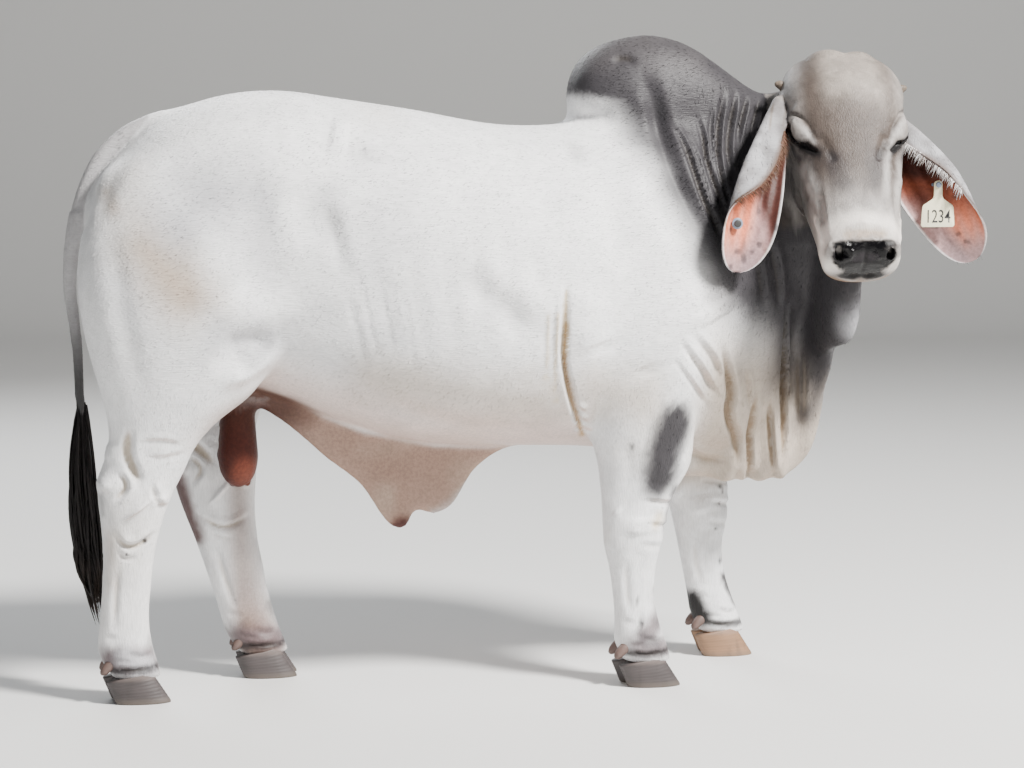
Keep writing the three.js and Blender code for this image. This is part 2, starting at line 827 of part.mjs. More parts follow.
// A round pin through an ear, with a flat head on each side.
function pin(size) {
  return join(
    disc(size, size.bar, size.front - 1, size.back + 1),
    disc(size, size.frontHead, size.front - 4, size.front),
    disc(size, size.backHead, size.back, size.back + 3),
  );
}

// Assembly

const FEET = [
  { name: "fore_right", rows: FORE[NEAR], side: NEAR, toe: 542, heel: 372, y: 174 },
  { name: "fore_left", rows: FORE[FAR], side: FAR, toe: 836, heel: 664, y: 169 },
  { name: "hind_right", rows: HIND[NEAR], side: NEAR, toe: -738, heel: -908, y: 128 },
  { name: "hind_left", rows: HIND[FAR], side: FAR, toe: -394, heel: -566, y: 120 },
];

const bull = new THREE.Group();
const add = (name, piece, material) => bull.add(node(name, piece, material));

const TAIL_STEPS = 22;
const tail = pathLoft(DOCK_ROWS, TAIL_STEPS, 8, 2);
const [lead, ...others] = DOCK_ROWS;
const deeper = [[lead[0] + CUT_GAP, ...lead.slice(1)], ...others];
const tailSocket = pathLoft(deeper, TAIL_STEPS, 8, 2, () => CUT_GAP);

let flesh = join(trunk(), hump(), neck(), dewlap(), sheath(), scrotum(), wholeHead());
for (const foot of FEET) flesh = flesh.add(leg(foot.rows, foot.side));
flesh = flesh.subtract(tailSocket);
for (const foot of FEET) {
  const outerInner = ["outer", "inner"];
  claws(foot, foot.side).forEach((piece, i) => {
    add(`claw_${foot.name}_${outerInner[i]}`, piece, COATS.hoof);
    flesh = flesh.subtract(grow(piece, CUT_GAP));
  });
  dewclaws(foot, foot.side).forEach((piece, i) => {
    add(`dewclaw_${foot.name}_${outerInner[i]}`, piece, COATS.hoof);
    flesh = flesh.subtract(grow(piece, CUT_GAP));
  });
}
for (const side of [NEAR, FAR]) {
  const name = side === NEAR ? "right" : "left";
  const horn = scur(side);
  add(`eye_${name}`, eyeball(side), COATS.eye);
  add(`horn_${name}`, horn, COATS.horn);
  flesh = flesh.subtract(grow(horn, CUT_GAP));
}

let head;
[head, flesh] = part(flesh, headSpace());
head = largest(head);
add("head", head, COATS.face);

for (const side of [NEAR, FAR]) {
  const leaf = clearOf(ear(EARS[side]), head, [[side, 0, 0], [0, -1, 0], [0, 1, 0], [0, 0, -1]]);
  add(side === NEAR ? "ear_right" : "ear_left", leaf.subtract(bore(side === NEAR ? BUTTON : STUD)), COATS.ear);
}
add("ear_button", pin(BUTTON), COATS.button);
add("ear_tag_stud", pin(STUD), COATS.button);
add("ear_tag_panel", tagPanel(), COATS.tag);

const tailLengths = slices(tail, [1040, 640]);
add("tail_root", tailLengths[0], COATS.pale);
add("tail_middle", tailLengths[1], COATS.grey);
add("tail_switch", slices(tailSwitch(), [640 - CUT_GAP])[1], COATS.hair);

let scrotumPart, sheathPart, dewlapPart, humpPart, neckPart;
[scrotumPart, flesh] = part(flesh, block([-650, -71, 480], [-470, 71, 700]));
[sheathPart, flesh] = part(flesh, block([-425, -90, 300], [132, 90, 588]));
add("scrotum", scrotumPart, COATS.bare);
add("sheath", sheathPart, COATS.bare);

for (const foot of FEET) {
  const fore = foot.name.startsWith("fore");
  const [x0, x1, inner, top] = fore ? [232, 820, 108, 790] : [-1060, -400, 71, 990];
  const near = foot.side === NEAR;
  const space = block([x0, near ? -420 : inner, 0], [x1, near ? -inner : 420, top]);
  let limb;
  [limb, flesh] = part(flesh, space);
  const names = fore ? ["upper", "lower"] : ["thigh", "hock", "cannon"];
  slices(largest(limb), fore ? [372] : [622, 372]).forEach((piece, i) => {
    add(`${foot.name}_${names[i]}`, piece, COATS.legs);
  });
}

const brisket = [
  [500, 560],
  [1000, 1015],
  [1100, 1015],
  [1100, 400],
  [380, 400],
  [380, 451],
];
[dewlapPart, flesh] = part(flesh, prism(brisket, 900));
const crest = [
  [240, 1466],
  [648, 1396],
  [648, 1800],
  [240, 1800],
];
[humpPart, flesh] = part(flesh, prism(crest, 500));
const front = [
  [735, 900],
  [735, 400],
  [1300, 400],
  [1300, 1800],
  [640, 1800],
  [640, 1400],
];
[neckPart, flesh] = part(flesh, prism(front, 1200));
add("dewlap", dewlapPart, COATS.grey);
add("hump", humpPart, COATS.grey);
add("neck", neckPart, COATS.grey);
add("torso", flesh, COATS.pale);

// The middle of the object's floor area is put over the origin.
const bounds = new THREE.Box3().setFromObject(bull);
for (const mesh of bull.children)
  mesh.geometry.translate(-(bounds.min.x + bounds.max.x) / 2, -(bounds.min.y + bounds.max.y) / 2, 0);

export default bull;
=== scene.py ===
"""A grey Brahman bull, life size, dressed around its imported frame.

Forms are worked out in the body's own frame, in millimetres: +X towards the chest, +Y towards the
bull's left and +Z up from the floor.  They are put into the row's frame, in metres, at the end.
"""

import logging
import math
from dataclasses import dataclass, replace
from enum import Enum

import bpy
import numpy as np
from bpy.types import Material, Mesh, Node, NodeSocket, NodeTree, Object
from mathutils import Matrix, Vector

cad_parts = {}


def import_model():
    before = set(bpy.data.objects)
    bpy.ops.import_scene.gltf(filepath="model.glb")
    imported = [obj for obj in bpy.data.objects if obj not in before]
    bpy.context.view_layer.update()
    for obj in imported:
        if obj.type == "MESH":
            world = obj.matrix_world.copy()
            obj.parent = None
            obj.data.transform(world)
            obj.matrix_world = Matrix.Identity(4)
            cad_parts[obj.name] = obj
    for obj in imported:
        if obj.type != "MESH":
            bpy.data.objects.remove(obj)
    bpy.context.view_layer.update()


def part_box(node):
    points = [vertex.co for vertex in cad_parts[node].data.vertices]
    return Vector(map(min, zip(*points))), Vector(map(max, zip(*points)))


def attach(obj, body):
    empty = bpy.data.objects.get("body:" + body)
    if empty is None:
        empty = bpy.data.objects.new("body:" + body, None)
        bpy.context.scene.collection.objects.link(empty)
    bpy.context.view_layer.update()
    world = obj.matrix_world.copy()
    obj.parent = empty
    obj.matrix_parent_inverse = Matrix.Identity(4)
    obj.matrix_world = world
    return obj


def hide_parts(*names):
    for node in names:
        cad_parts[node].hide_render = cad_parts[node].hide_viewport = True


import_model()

LOG = logging.getLogger("bull")
MM = 0.001
ARRAY = np.ndarray

# Driving dimensions of the bull, as in its frame

HIP_HEIGHT = 1503
HUMP_HEIGHT = 1646
CHEST_FLOOR = 590
BARREL_WIDTH = 720
RUMP_X = -928
HEAD_LENGTH = 596
HEAD_POLL = np.array([954.0, -184.0, 1595.0])
HEAD_YAW = 6.8
HEAD_PITCH = 52.0
HEAD_ROLL = 1.5
EYE_RADIUS = 20.0
EYE_AT = np.array([122.0, -52.0, 232.0])
CLAW_LENGTH = 138.0
CLAW_WIDTH = 66.0
CLAW_HEIGHT = 74.0


class Side(Enum):
    """Which side of the body, as the sign of Y."""

    NEAR = -1
    FAR = 1

    @property
    def title(self) -> str:
        """The bull's own side."""
        return "right" if self is Side.NEAR else "left"


def ease(value: ARRAY, low: float, high: float) -> ARRAY:
    """A rise from 0 at low to 1 at high with level ends: 3t^2 - 2t^3.

    Args:
        value: numbers to place between the limits.
        low: where the rise starts.
        high: where it ends.

    Returns:
        Numbers from 0 to 1.
    """
    t = np.clip((value - low) / (high - low), 0, 1)
    return t * t * (3 - 2 * t)


def unit(vectors: ARRAY) -> ARRAY:
    """Vectors scaled to length 1 along their last axis."""
    return vectors / np.maximum(np.linalg.norm(vectors, axis=-1, keepdims=True), 1e-9)


def signed_power(value: ARRAY, exponent: float) -> ARRAY:
    """The power of a number's size with its sign kept."""
    return np.sign(value) * np.abs(value) ** exponent


# The head's own frame: X to the bull's left, Y out of the forehead, Z from the poll to the muzzle


def head_axes() -> ARRAY:
    """The head frame's three axes as rows, from its yaw, pitch and roll."""
    yaw, pitch, roll = (math.radians(a) for a in (HEAD_YAW, HEAD_PITCH, HEAD_ROLL))
    ahead = np.array([-math.sin(yaw), -math.cos(yaw), 0.0])
    up = np.array([0.0, 0.0, 1.0])
    muzzle = ahead * math.cos(pitch) - up * math.sin(pitch)
    left = np.cross(up, ahead)
    left = left * math.cos(roll) + np.cross(muzzle, left) * math.sin(roll)
    return np.array([left, np.cross(muzzle, left), muzzle])


HEAD_AXES = head_axes()


def from_head(points: ARRAY) -> ARRAY:
    """Points of the head's frame put into the body's."""
    return HEAD_POLL + np.asarray(points, float) @ HEAD_AXES


def to_head(points: ARRAY) -> ARRAY:
    """Points of the body's frame seen from the head's."""
    return (points - HEAD_POLL) @ HEAD_AXES.T


def frame_shift() -> ARRAY:
    """How far the row's origin lies from the body's, found from where the right eye is packed."""
    low, high = (np.array(corner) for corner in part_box("eye_right"))
    return from_head(EYE_AT * [-1, 1, 1]) - (low + high) / 2 / MM


SHIFT = frame_shift()


# Meshes


@dataclass
class Form:
    """A closed shape: corners in millimetres and triangles that point outwards."""

    corners: ARRAY
    faces: ARRAY

    def normals(self) -> ARRAY:
        """The corner normals: the sum of the face normals round each corner, at length 1."""
        a, b, c = (self.corners[self.faces[:, i]] for i in range(3))
        across = np.cross(b - a, c - a)
        total = np.zeros_like(self.corners)
        for axis in range(3):
            for i in range(3):
                total[:, axis] += np.bincount(self.faces[:, i], across[:, axis], len(total))
        return unit(total)

    def edges(self) -> ARRAY:
        """Each edge once, as pairs of corners."""
        pairs = np.concatenate([self.faces[:, [0, 1]], self.faces[:, [1, 2]], self.faces[:, [2, 0]]])
        pairs.sort(axis=1)
        count = len(self.corners)
        keys = np.unique(pairs[:, 0].astype(np.int64) * count + pairs[:, 1])
        return np.stack([keys // count, keys % count], axis=1)

    def relaxed(self, weight: ARRAY, rounds: int) -> "Form":
        """Each corner moved towards the mean of its neighbours, weight of the way, some rounds.

        Args:
            weight: a number from 0 to 1 for each corner.
            rounds: how many times.

        Returns:
            The smoothed form.
        """
        edges = self.edges()
        first, second = edges[:, 0], edges[:, 1]
        count = len(self.corners)
        degree = np.maximum(np.bincount(edges.ravel(), minlength=count), 1)[:, None]
        corners = self.corners.copy()
        total = np.empty_like(corners)
        for _ in range(rounds):
            for axis in range(3):
                total[:, axis] = np.bincount(first, corners[second, axis], count)
                total[:, axis] += np.bincount(second, corners[first, axis], count)
            corners += weight[:, None] * (total / degree - corners)
        return Form(corners, self.faces)


def joined(forms: list[Form]) -> Form:
    """Several forms as one, still overlapping."""
    starts = np.cumsum([0] + [len(form.corners) for form in forms[:-1]])
    corners = np.concatenate([form.corners for form in forms])
    return Form(corners, np.concatenate([form.faces + start for form, start in zip(forms, starts)]))


def outward(corners: ARRAY, faces: ARRAY) -> Form:
    """A form whose faces are turned outwards: the enclosed volume, a sixth of the summed triple
    products of the faces, is above 0."""
    a, b, c = (corners[faces[:, i]] for i in range(3))
    volume = np.einsum("ij,ij->", a, np.cross(b, c)) / 6
    return Form(corners, faces if volume > 0 else faces[:, ::-1])


def strip_faces(levels: int, around: int) -> list[ARRAY]:
    """The triangles of the walls between rings, as the two halves of each four-sided patch."""
    i, j = np.meshgrid(np.arange(levels - 1), np.arange(around), indexing="ij")
    a, b = (i * around + j).ravel(), (i * around + (j + 1) % around).ravel()
    return [np.stack([a, b, b + around], 1), np.stack([a, b + around, a + around], 1)]


def skinned(sections: ARRAY) -> Form:
    """A closed tube through rings x points x 3, each end closed by a fan to the ring's middle."""
    levels, around = sections.shape[:2]
    middles = np.array([sections[0].mean(0), sections[-1].mean(0)])
    j = np.arange(around)
    k = (j + 1) % around
    count, top = levels * around, (levels - 1) * around
    start = np.stack([k, j, np.full(around, count)], 1)
    end = np.stack([top + j, top + k, np.full(around, count + 1)], 1)
    faces = np.concatenate([*strip_faces(levels, around), start, end])
    return outward(np.concatenate([sections.reshape(-1, 3), middles]), faces)


def blades(sections: ARRAY) -> Form:
    """Many closed blades at once: blades x steps x ring points x 3, each end closed by a fan."""
    count, steps, around = sections.shape[:3]
    fan = np.arange(1, around - 1)
    top = (steps - 1) * around
    ends = [np.stack([0 * fan, fan + 1, fan], 1), np.stack([0 * fan + top, top + fan, top + fan + 1], 1)]
    one = np.concatenate(strip_faces(steps, around) + ends)
    base = (np.arange(count) * steps * around)[:, None, None]
    return outward(sections.reshape(-1, 3), (one[None] + base).reshape(-1, 3))


def rows_along(rows: list, count: int, gauge: list[int]) -> ARRAY:
    """Rows of a table read at even steps of their length by a Hermite cubic.

    Args:
        rows: the table.
        count: how many rows to read.
        gauge: the columns whose change is the length.

    Returns:
        count rows.
    """
    table = np.asarray(rows, float)
    steps = np.linalg.norm(np.diff(table[:, gauge], axis=0), axis=1)
    at = np.concatenate([[0], np.cumsum(steps)])
    slope = np.empty_like(table)
    slope[1:-1] = (table[2:] - table[:-2]) / (at[2:] - at[:-2])[:, None]
    slope[0] = (table[1] - table[0]) / steps[0]
    slope[-1] = (table[-1] - table[-2]) / steps[-1]
    t = np.linspace(0, at[-1], count)
    i = np.clip(np.searchsorted(at, t, side="right") - 1, 0, len(at) - 2)
    span = steps[i][:, None]
    u = (t - at[i])[:, None] / span
    low = (1 + 2 * u) * (1 - u) ** 2 * table[i] + u * (1 - u) ** 2 * span * slope[i]
    return low + u**2 * (3 - 2 * u) * table[i + 1] + u**2 * (u - 1) * span * slope[i + 1]


def rings(centre: ARRAY, side: ARRAY, up: ARRAY, sizes: tuple, around: int, square: float) -> ARRAY:
    """Rings about centres: half a width to each side, one half-height up and another down.

    Args:
        centre: n x 3 middles.
        side: n x 3 directions of the width.
        up: n x 3 directions of the height.
        sizes: half-widths, heights above and heights below, n each.
        around: points in a ring.
        square: 2 for an ellipse, more for a squarer ring.

    Returns:
        n x around x 3 points.
    """
    half, above, below = (np.asarray(size, float)[:, None, None] for size in sizes)
    angle = (np.arange(around) / around * 2 * np.pi)[None, :, None]
    across = half * signed_power(np.cos(angle), 2 / square)
    high = signed_power(np.sin(angle), 2 / square) * np.where(np.sin(angle) > 0, above, below)
    return centre[:, None] + across * side[:, None] + high * up[:, None]


def ellipsoid(centre: list, radii: list, around: int = 40, down: int = 30) -> Form:
    """A closed ellipsoid: rings of sines and cosines from pole to pole."""
    polar = (np.arange(1, down) / down * np.pi)[:, None, None]
    angle = (np.arange(around) / around * 2 * np.pi)[None, :, None]
    ball = np.concatenate(
        [np.sin(polar) * np.cos(angle), np.sin(polar) * np.sin(angle), np.cos(polar) + 0 * angle], axis=2
    )
    form = skinned(ball)
    form.corners[-2:] = [[0, 0, 1], [0, 0, -1]]
    return Form(form.corners * radii + centre, form.faces)


def path_frames(points: ARRAY) -> tuple[ARRAY, ARRAY]:
    """The side and the up of each point of a path."""
    ahead = np.empty_like(points)
    ahead[1:-1] = points[2:] - points[:-2]
    ahead[0], ahead[-1] = points[1] - points[0], points[-1] - points[-2]
    ahead = unit(ahead)
    steep = np.abs(ahead[:, 2:]) > 0.9
    reference = np.where(steep, [[-1.0, 0, 0]], [[0.0, 0, 1]])
    side = unit(np.cross(reference, ahead))
    return side, unit(np.cross(ahead, side))


def path_form(rows: list, count: int, around: int, square: float = 2.0) -> Form:
    """A limb along a bent path: rows of x, y, z, half-width, half-height above and below."""
    table = rows_along(rows, count, [0, 1, 2])
    side, up = path_frames(table[:, :3])
    return skinned(rings(table[:, :3], side, up, (table[:, 3], table[:, 4], table[:, 5]), around, square))


def trunk_form(rows: list, count: int, around: int, square: float) -> Form:
    """A body form along X: rows of x, top, bottom, half-width and the height of the widest place."""
    x, top, bottom, half, widest = rows_along(rows, count, [0]).T
    centre = np.stack([x, 0 * x, widest], 1)
    side, up = np.tile([0.0, 1, 0], (count, 1)), np.tile([0.0, 0, 1], (count, 1))
    return skinned(rings(centre, side, up, (half, top - widest, widest - bottom), around, square))


# Blender meshes


def raw_mesh(name: str, corners: ARRAY, faces: ARRAY) -> Mesh:
    """A Blender mesh from arrays of corners and triangles or four-sided faces."""
    mesh = bpy.data.meshes.new(name)
    sides = faces.shape[1]
    mesh.vertices.add(len(corners))
    mesh.vertices.foreach_set("co", np.ascontiguousarray(corners, np.float32).ravel())
    mesh.loops.add(faces.size)
    mesh.loops.foreach_set("vertex_index", np.ascontiguousarray(faces, np.int32).ravel())
    mesh.polygons.add(len(faces))
    mesh.polygons.foreach_set("loop_start", np.arange(len(faces), dtype=np.int32) * sides)
    mesh.polygons.foreach_set("use_smooth", np.ones(len(faces), bool))
    mesh.update(calc_edges=True)
    return mesh


def linked(name: str, mesh: Mesh) -> Object:
    """An object of the mesh in the scene."""
    thing = bpy.data.objects.new(name, mesh)
    bpy.context.scene.collection.objects.link(thing)
    return thing


def read_form(mesh: Mesh) -> Form:
    """A Blender mesh read back as a form of triangles."""
    mesh.calc_loop_triangles()
    corners = np.empty(len(mesh.vertices) * 3, np.float32)
    mesh.vertices.foreach_get("co", corners)
    faces = np.empty(len(mesh.loop_triangles) * 3, np.int32)
    mesh.loop_triangles.foreach_get("vertices", faces)
    return Form(corners.reshape(-1, 3).astype(float), faces.reshape(-1, 3))


def modified(form: Form, kind: str, others: tuple = (), weight: ARRAY | None = None, **settings) -> Form:
    """A form passed through one Blender modifier.

    Args:
        form: the shape that is changed.
        kind: the modifier's type.
        others: a second form for a Boolean.
        weight: a weight for each corner, for a modifier that takes a vertex group.
        settings: values set on the modifier.

    Returns:
        The changed form.
    """
    thing = linked("form", raw_mesh("form", form.corners, form.faces))
    modifier = thing.modifiers.new("change", kind)
    for key, value in settings.items():
        setattr(modifier, key, value)
    made = [thing]
    if others:
        made.append(linked("other", raw_mesh("other", others[0].corners, others[0].faces)))
        modifier.object = made[1]
    if weight is not None:
        group = thing.vertex_groups.new(name="weight")
        levels = np.round(weight * 10).astype(int)
        for level in range(1, 11):
            group.add(np.flatnonzero(levels == level).tolist(), level / 10, "REPLACE")
        modifier.vertex_group = "weight"
    ready = thing.evaluated_get(bpy.context.evaluated_depsgraph_get())
    mesh = bpy.data.meshes.new_from_object(ready)
    result = read_form(mesh)
    bpy.data.meshes.remove(mesh)
    for one in made:
        data = one.data
        bpy.data.objects.remove(one)
        bpy.data.meshes.remove(data)
    return result


def remeshed(forms: list[Form], voxel: float) -> Form:
    """Overlapping forms fused into one closed shape of even faces, voxel millimetres across."""
    return modified(joined(forms), "REMESH", mode="VOXEL", voxel_size=voxel)


def boolean(form: Form, other: Form, operation: str) -> Form:
    """One closed form united with, or cut by, another."""
    return modified(form, "BOOLEAN", (other,), operation=operation, solver="MANIFOLD")


def place(name: str, form: Form, finish: Material, slot: str, *nodes: str) -> Object:
    """A finished piece in the row's frame, which rides on the body and replaces its nodes."""
    title = name.replace(" ", "_")
    piece = linked(title, raw_mesh(title, (form.corners - SHIFT) * MM, form.faces))
    piece.data.materials.append(finish)
    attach(piece, "root")
    if nodes:
        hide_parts(*nodes)
    LOG.info("%s: %d faces", name, len(form.faces))
    return piece


# Body


@dataclass
class Trunk:
    """Barrel, chest and rump: x, top, bottom, half-width and the height of the widest place."""

    rows: tuple = (
        [RUMP_X, 1235, 1120, 50, 1180], [-900, 1288, 1030, 150, 1180], [-850, 1345, 930, 200, 1180],
        [-790, 1395, 880, 235, 1180], [-740, 1432, 850, 262, 1180], [-620, 1483, 790, 295, 1180],
        [-460, HIP_HEIGHT, 735, 318, 1150], [-300, 1483, 672, 332, 1080],
        [-120, 1457, 620, BARREL_WIDTH / 2 - 6, 1010], [120, 1417, 600, BARREL_WIDTH / 2, 980],
        [340, 1425, CHEST_FLOOR, BARREL_WIDTH / 2 - 32, 990], [520, 1450, 560, 288, 1010],
        [680, 1430, 560, 245, 1040], [800, 1370, 640, 190, 1060], [860, 1280, 760, 120, 1060],
    )
    square: float = 2.25

    def form(self) -> Form:
        """The loft through the rows."""
        return trunk_form(self.rows, 110, 90, self.square)


@dataclass
class Hump:
    """The hump over the shoulders, in the trunk's kind of rows."""

    rows: tuple = (
        [286, 1520, 1455, 45, 1488], [304, 1568, 1415, 84, 1480], [350, 1610, 1380, 118, 1470],
        [420, 1636, 1345, 136, 1460], [510, HUMP_HEIGHT, 1320, 142, 1450], [600, 1622, 1310, 138, 1440],
        [680, 1572, 1300, 126, 1430], [760, 1516, 1290, 108, 1410], [850, 1470, 1280, 80, 1390],
    )
    square: float = 2.1

    def form(self) -> Form:
        """The loft through the rows."""
        return trunk_form(self.rows, 60, 60, self.square)


@dataclass
class Neck:
    """The neck, bent to the right: x, y, z, half-width, half-height above and below."""

    rows: tuple = (
        [500, 0, 1120, 245, 320, 400], [690, 0, 1170, 215, 335, 380], [810, -12, 1225, 186, 305, 300],
        [892, -45, 1292, 160, 252, 220], [940, -92, 1362, 142, 206, 160],
        [962, -142, 1418, 128, 160, 125],
    )

    def form(self) -> Form:
        """The loft along the path."""
        return path_form(self.rows, 60, 64, 2.15)


@dataclass
class Fold:
    """A hanging fold of skin: x, y, top, bottom and half-thickness, with pleats that swing it."""

    rows: list
    pleat: float = 0.0
    pleat_length: float = 100.0

    def form(self) -> Form:
        """The loft along the plan path: a squared ring, swung sideways more towards its lower edge."""
        x, y, top, bottom, half = rows_along(self.rows, 110, [0, 1]).T
        plan = np.stack([x, y, 0 * x], 1)
        ahead = unit(np.gradient(plan, axis=0))
        up = np.tile([0.0, 0, 1], (len(x), 1))
        side = np.cross(up, ahead)
        middle = np.stack([x, y, (top + bottom) / 2], 1)
        high = (top - bottom) / 2
        sections = rings(middle, side, up, (half, high, high), 48, 2.6)
        walked = np.concatenate([[0], np.cumsum(np.linalg.norm(np.diff(plan, axis=0), axis=1))])
        swing = self.pleat * np.sin(2 * np.pi * walked / self.pleat_length)
        lower = (top[:, None] - sections[:, :, 2]) / (top - bottom)[:, None]
        return skinned(sections + (swing[:, None] * lower)[:, :, None] * side[:, None])


DEWLAP = Fold(
    rows=[
        [400, 0, 800, 582, 100], [550, -8, 850, 520, 84], [680, -18, 950, 494, 72],
        [790, -30, 1050, 486, 62], [876, -46, 1120, 508, 54], [926, -78, 1170, 590, 46],
        [926, -120, 1220, 700, 38], [922, -170, 1260, 800, 36], [938, -225, 1250, 842, 38],
        [950, -275, 1220, 862, 36], [952, -318, 1170, 985, 24],
    ],
    pleat=18,
    pleat_length=118,
)
SHEATH = Fold(
    rows=[
        [-560, 0, 860, 735, 22], [-440, 0, 860, 664, 30], [-340, 0, 860, 575, 32],
        [-245, 0, 840, 498, 34], [-195, 0, 820, 420, 30], [-166, 0, 800, 389, 27],
        [-126, 0, 800, 389, 27], [-108, 0, 800, 430, 25], [-60, 0, 800, 419, 27], [-6, 0, 790, 446, 28],
        [44, 0, 780, 528, 30], [125, 0, 760, 585, 34], [235, 0, 720, 602, 30],
    ]
)
SCROTUM_ROWS = [
    [-556, 0, 800, 46, 42, 42], [-556, 0, 700, 48, 46, 46], [-556, 0, 620, 54, 51, 51],
    [-556, 0, 580, 56, 53, 53], [-556, 0, 548, 51, 48, 48], [-556, 0, 526, 40, 38, 38],
    [-556, 0, 511, 25, 24, 24], [-556, 0, 503, 8, 8, 8],
]


@dataclass
class Leg:
    """One leg: rows of height, rear x, front x, distance from the middle and half-width."""

    name: str
    side: Side
    rows: list
    toe: float
    heel: float
    foot: float

    def form(self) -> Form:
        """The loft down the leg: a ring as long as front less rear at each height."""
        z, rear, front, out, half = rows_along(self.rows, 120, [0]).T
        count = len(z)
        centre = np.stack([(front + rear) / 2, self.side.value * out, z], 1)
        across, ahead = np.tile([0.0, 1, 0], (count, 1)), np.tile([1.0, 0, 0], (count, 1))
        reach = (front - rear) / 2
        return skinned(rings(centre, across, ahead, (half, reach, reach), 60, 2.2))


LEGS = [
    Leg(
        name="fore_right",
        side=Side.NEAR,
        toe=542,
        heel=372,
        foot=174,
        rows=[
            [1330, 350, 540, 150, 60], [1180, 305, 625, 190, 92], [1040, 272, 665, 208, 112],
            [930, 258, 672, 212, 118], [830, 262, 645, 206, 116], [740, 284, 590, 198, 104],
            [650, 305, 577, 190, 88], [560, 328, 568, 184, 72], [480, 338, 524, 180, 60],
            [420, 342, 508, 178, 60], [360, 346, 497, 176, 60], [300, 360, 483, 175, 47],
            [220, 371, 481, 174, 44], [160, 375, 492, 174, 50], [115, 374, 508, 174, 56],
            [60, 398, 524, 174, 58],
        ],
    ),
    Leg(
        name="fore_left",
        side=Side.FAR,
        toe=836,
        heel=664,
        foot=169,
        rows=[
            [1330, 350, 540, 150, 60], [1180, 320, 640, 190, 92], [1040, 300, 700, 208, 112],
            [930, 310, 720, 212, 118], [830, 345, 724, 206, 116], [740, 400, 722, 198, 104],
            [650, 460, 738, 190, 88], [560, 520, 758, 182, 72], [480, 572, 768, 176, 60],
            [420, 600, 768, 173, 60], [360, 616, 764, 171, 60], [300, 628, 752, 170, 47],
            [220, 644, 760, 169, 44], [160, 656, 778, 169, 50], [115, 664, 796, 169, 56],
            [60, 690, 816, 169, 58],
        ],
    ),
    Leg(
        name="hind_right",
        side=Side.NEAR,
        toe=-738,
        heel=-908,
        foot=128,
        rows=[
            [1330, -840, -500, 150, 90], [1180, -935, -440, 172, 138], [1040, -957, -425, 184, 148],
            [930, -946, -440, 190, 142], [850, -932, -470, 190, 122], [760, -905, -530, 186, 98],
            [690, -888, -620, 178, 80], [630, -888, -672, 168, 68], [570, -908, -700, 158, 62],
            [510, -913, -730, 150, 66], [450, -907, -752, 145, 62], [370, -902, -772, 140, 50],
            [280, -906, -783, 136, 46], [200, -912, -788, 132, 47], [135, -918, -780, 129, 55],
            [95, -905, -768, 128, 58], [58, -880, -756, 128, 56],
        ],
    ),
    Leg(
        name="hind_left",
        side=Side.FAR,
        toe=-394,
        heel=-566,
        foot=120,
        rows=[
            [1330, -840, -500, 150, 90], [1180, -935, -420, 172, 138], [1040, -950, -395, 184, 148],
            [930, -915, -395, 188, 140], [850, -870, -410, 186, 122], [760, -800, -440, 180, 98],
            [690, -765, -475, 172, 82], [630, -735, -495, 160, 70], [570, -718, -494, 150, 64],
            [500, -708, -497, 142, 66], [440, -690, -500, 137, 62], [360, -660, -495, 132, 52],
            [280, -633, -480, 128, 47], [200, -608, -464, 124, 47], [135, -590, -446, 121, 55],
            [95, -572, -430, 120, 58], [58, -545, -415, 120, 56],
        ],
    ),
]

DOCK_ROWS = [
    [-680, 0, 1436, 62, 30, 50], [-740, 0, 1424, 48, 26, 44], [-786, 0, 1404, 36, 29, 34],
    [-835, 0, 1375, 30, 29, 29], [-888, 0, 1322, 27, 27, 27], [-927, 0, 1243, 25, 25, 25],
    [-951, 0, 1157, 23, 23, 23], [-963, 0, 1076, 20, 20, 20], [-966, 0, 1010, 19, 18, 18],
    [-957, 0, 930, 17, 16, 16], [-949, 0, 846, 16, 15, 15], [-945, 0, 741, 15, 14, 14],
    [-940, 0, 640, 14, 13, 13], [-934, 0, 540, 11, 10, 10], [-938, 0, 440, 8, 8, 8],
]
DOCK_LINE = np.array([row[:3] for row in DOCK_ROWS], float)


# Head


@dataclass
class Skull:
    """The head's forms in its own frame: s from the poll, dorsal, ventral, half-width, widest level."""

    rows: tuple = (
        [-60, -110, -160, 50, -130], [-36, -62, -200, 100, -120], [-8, -14, -228, 130, -104],
        [40, 12, -250, 151, -88], [100, 28, -262, 157, -76], [160, 28, -264, 154, -76],
        [232, 18, -262, 144, -90], [300, 2, -254, 133, -108], [370, -10, -236, 123, -112],
        [435, -16, -218, 112, -110], [500, -20, -205, 102, -108], [545, -30, -197, 99, -108],
        [576, -48, -186, 91, -110], [HEAD_LENGTH - 2, -78, -152, 62, -110],
    )

    def form(self) -> list[Form]:
        """Skull, poll, brows, cheeks, nostril wings and chin, still overlapping, in the body's frame."""
        s, top, bottom, half, widest = rows_along(self.rows, 120, [0]).T
        centre = np.stack([0 * s, widest, s], 1)
        left, up = np.tile([1.0, 0, 0], (len(s), 1)), np.tile([0.0, 1, 0], (len(s), 1))
        made = [skinned(rings(centre, left, up, (half, top - widest, widest - bottom), 90, 2.35))]
        made += [
            ellipsoid([-30, -40, 22], [70, 46, 58]),
            ellipsoid([42, -44, 22], [60, 44, 55]),
            ellipsoid([0, -165, 545], [62, 34, 38]),
        ]
        for sign in (-1, 1):
            x, y, z = EYE_AT
            made += [
                ellipsoid([sign * (x - 12), y + 20, z - 14], [38, 26, 50]),
                ellipsoid([sign * 76, -178, 262], [60, 84, 120]),
                ellipsoid([sign * 52, -74, HEAD_LENGTH - 36], [38, 38, 32]),
                ellipsoid([sign * x, y, z], [EYE_RADIUS + 4, EYE_RADIUS + 3.5, EYE_RADIUS + 6]),
            ]
        return [Form(from_head(one.corners), one.faces) for one in made]


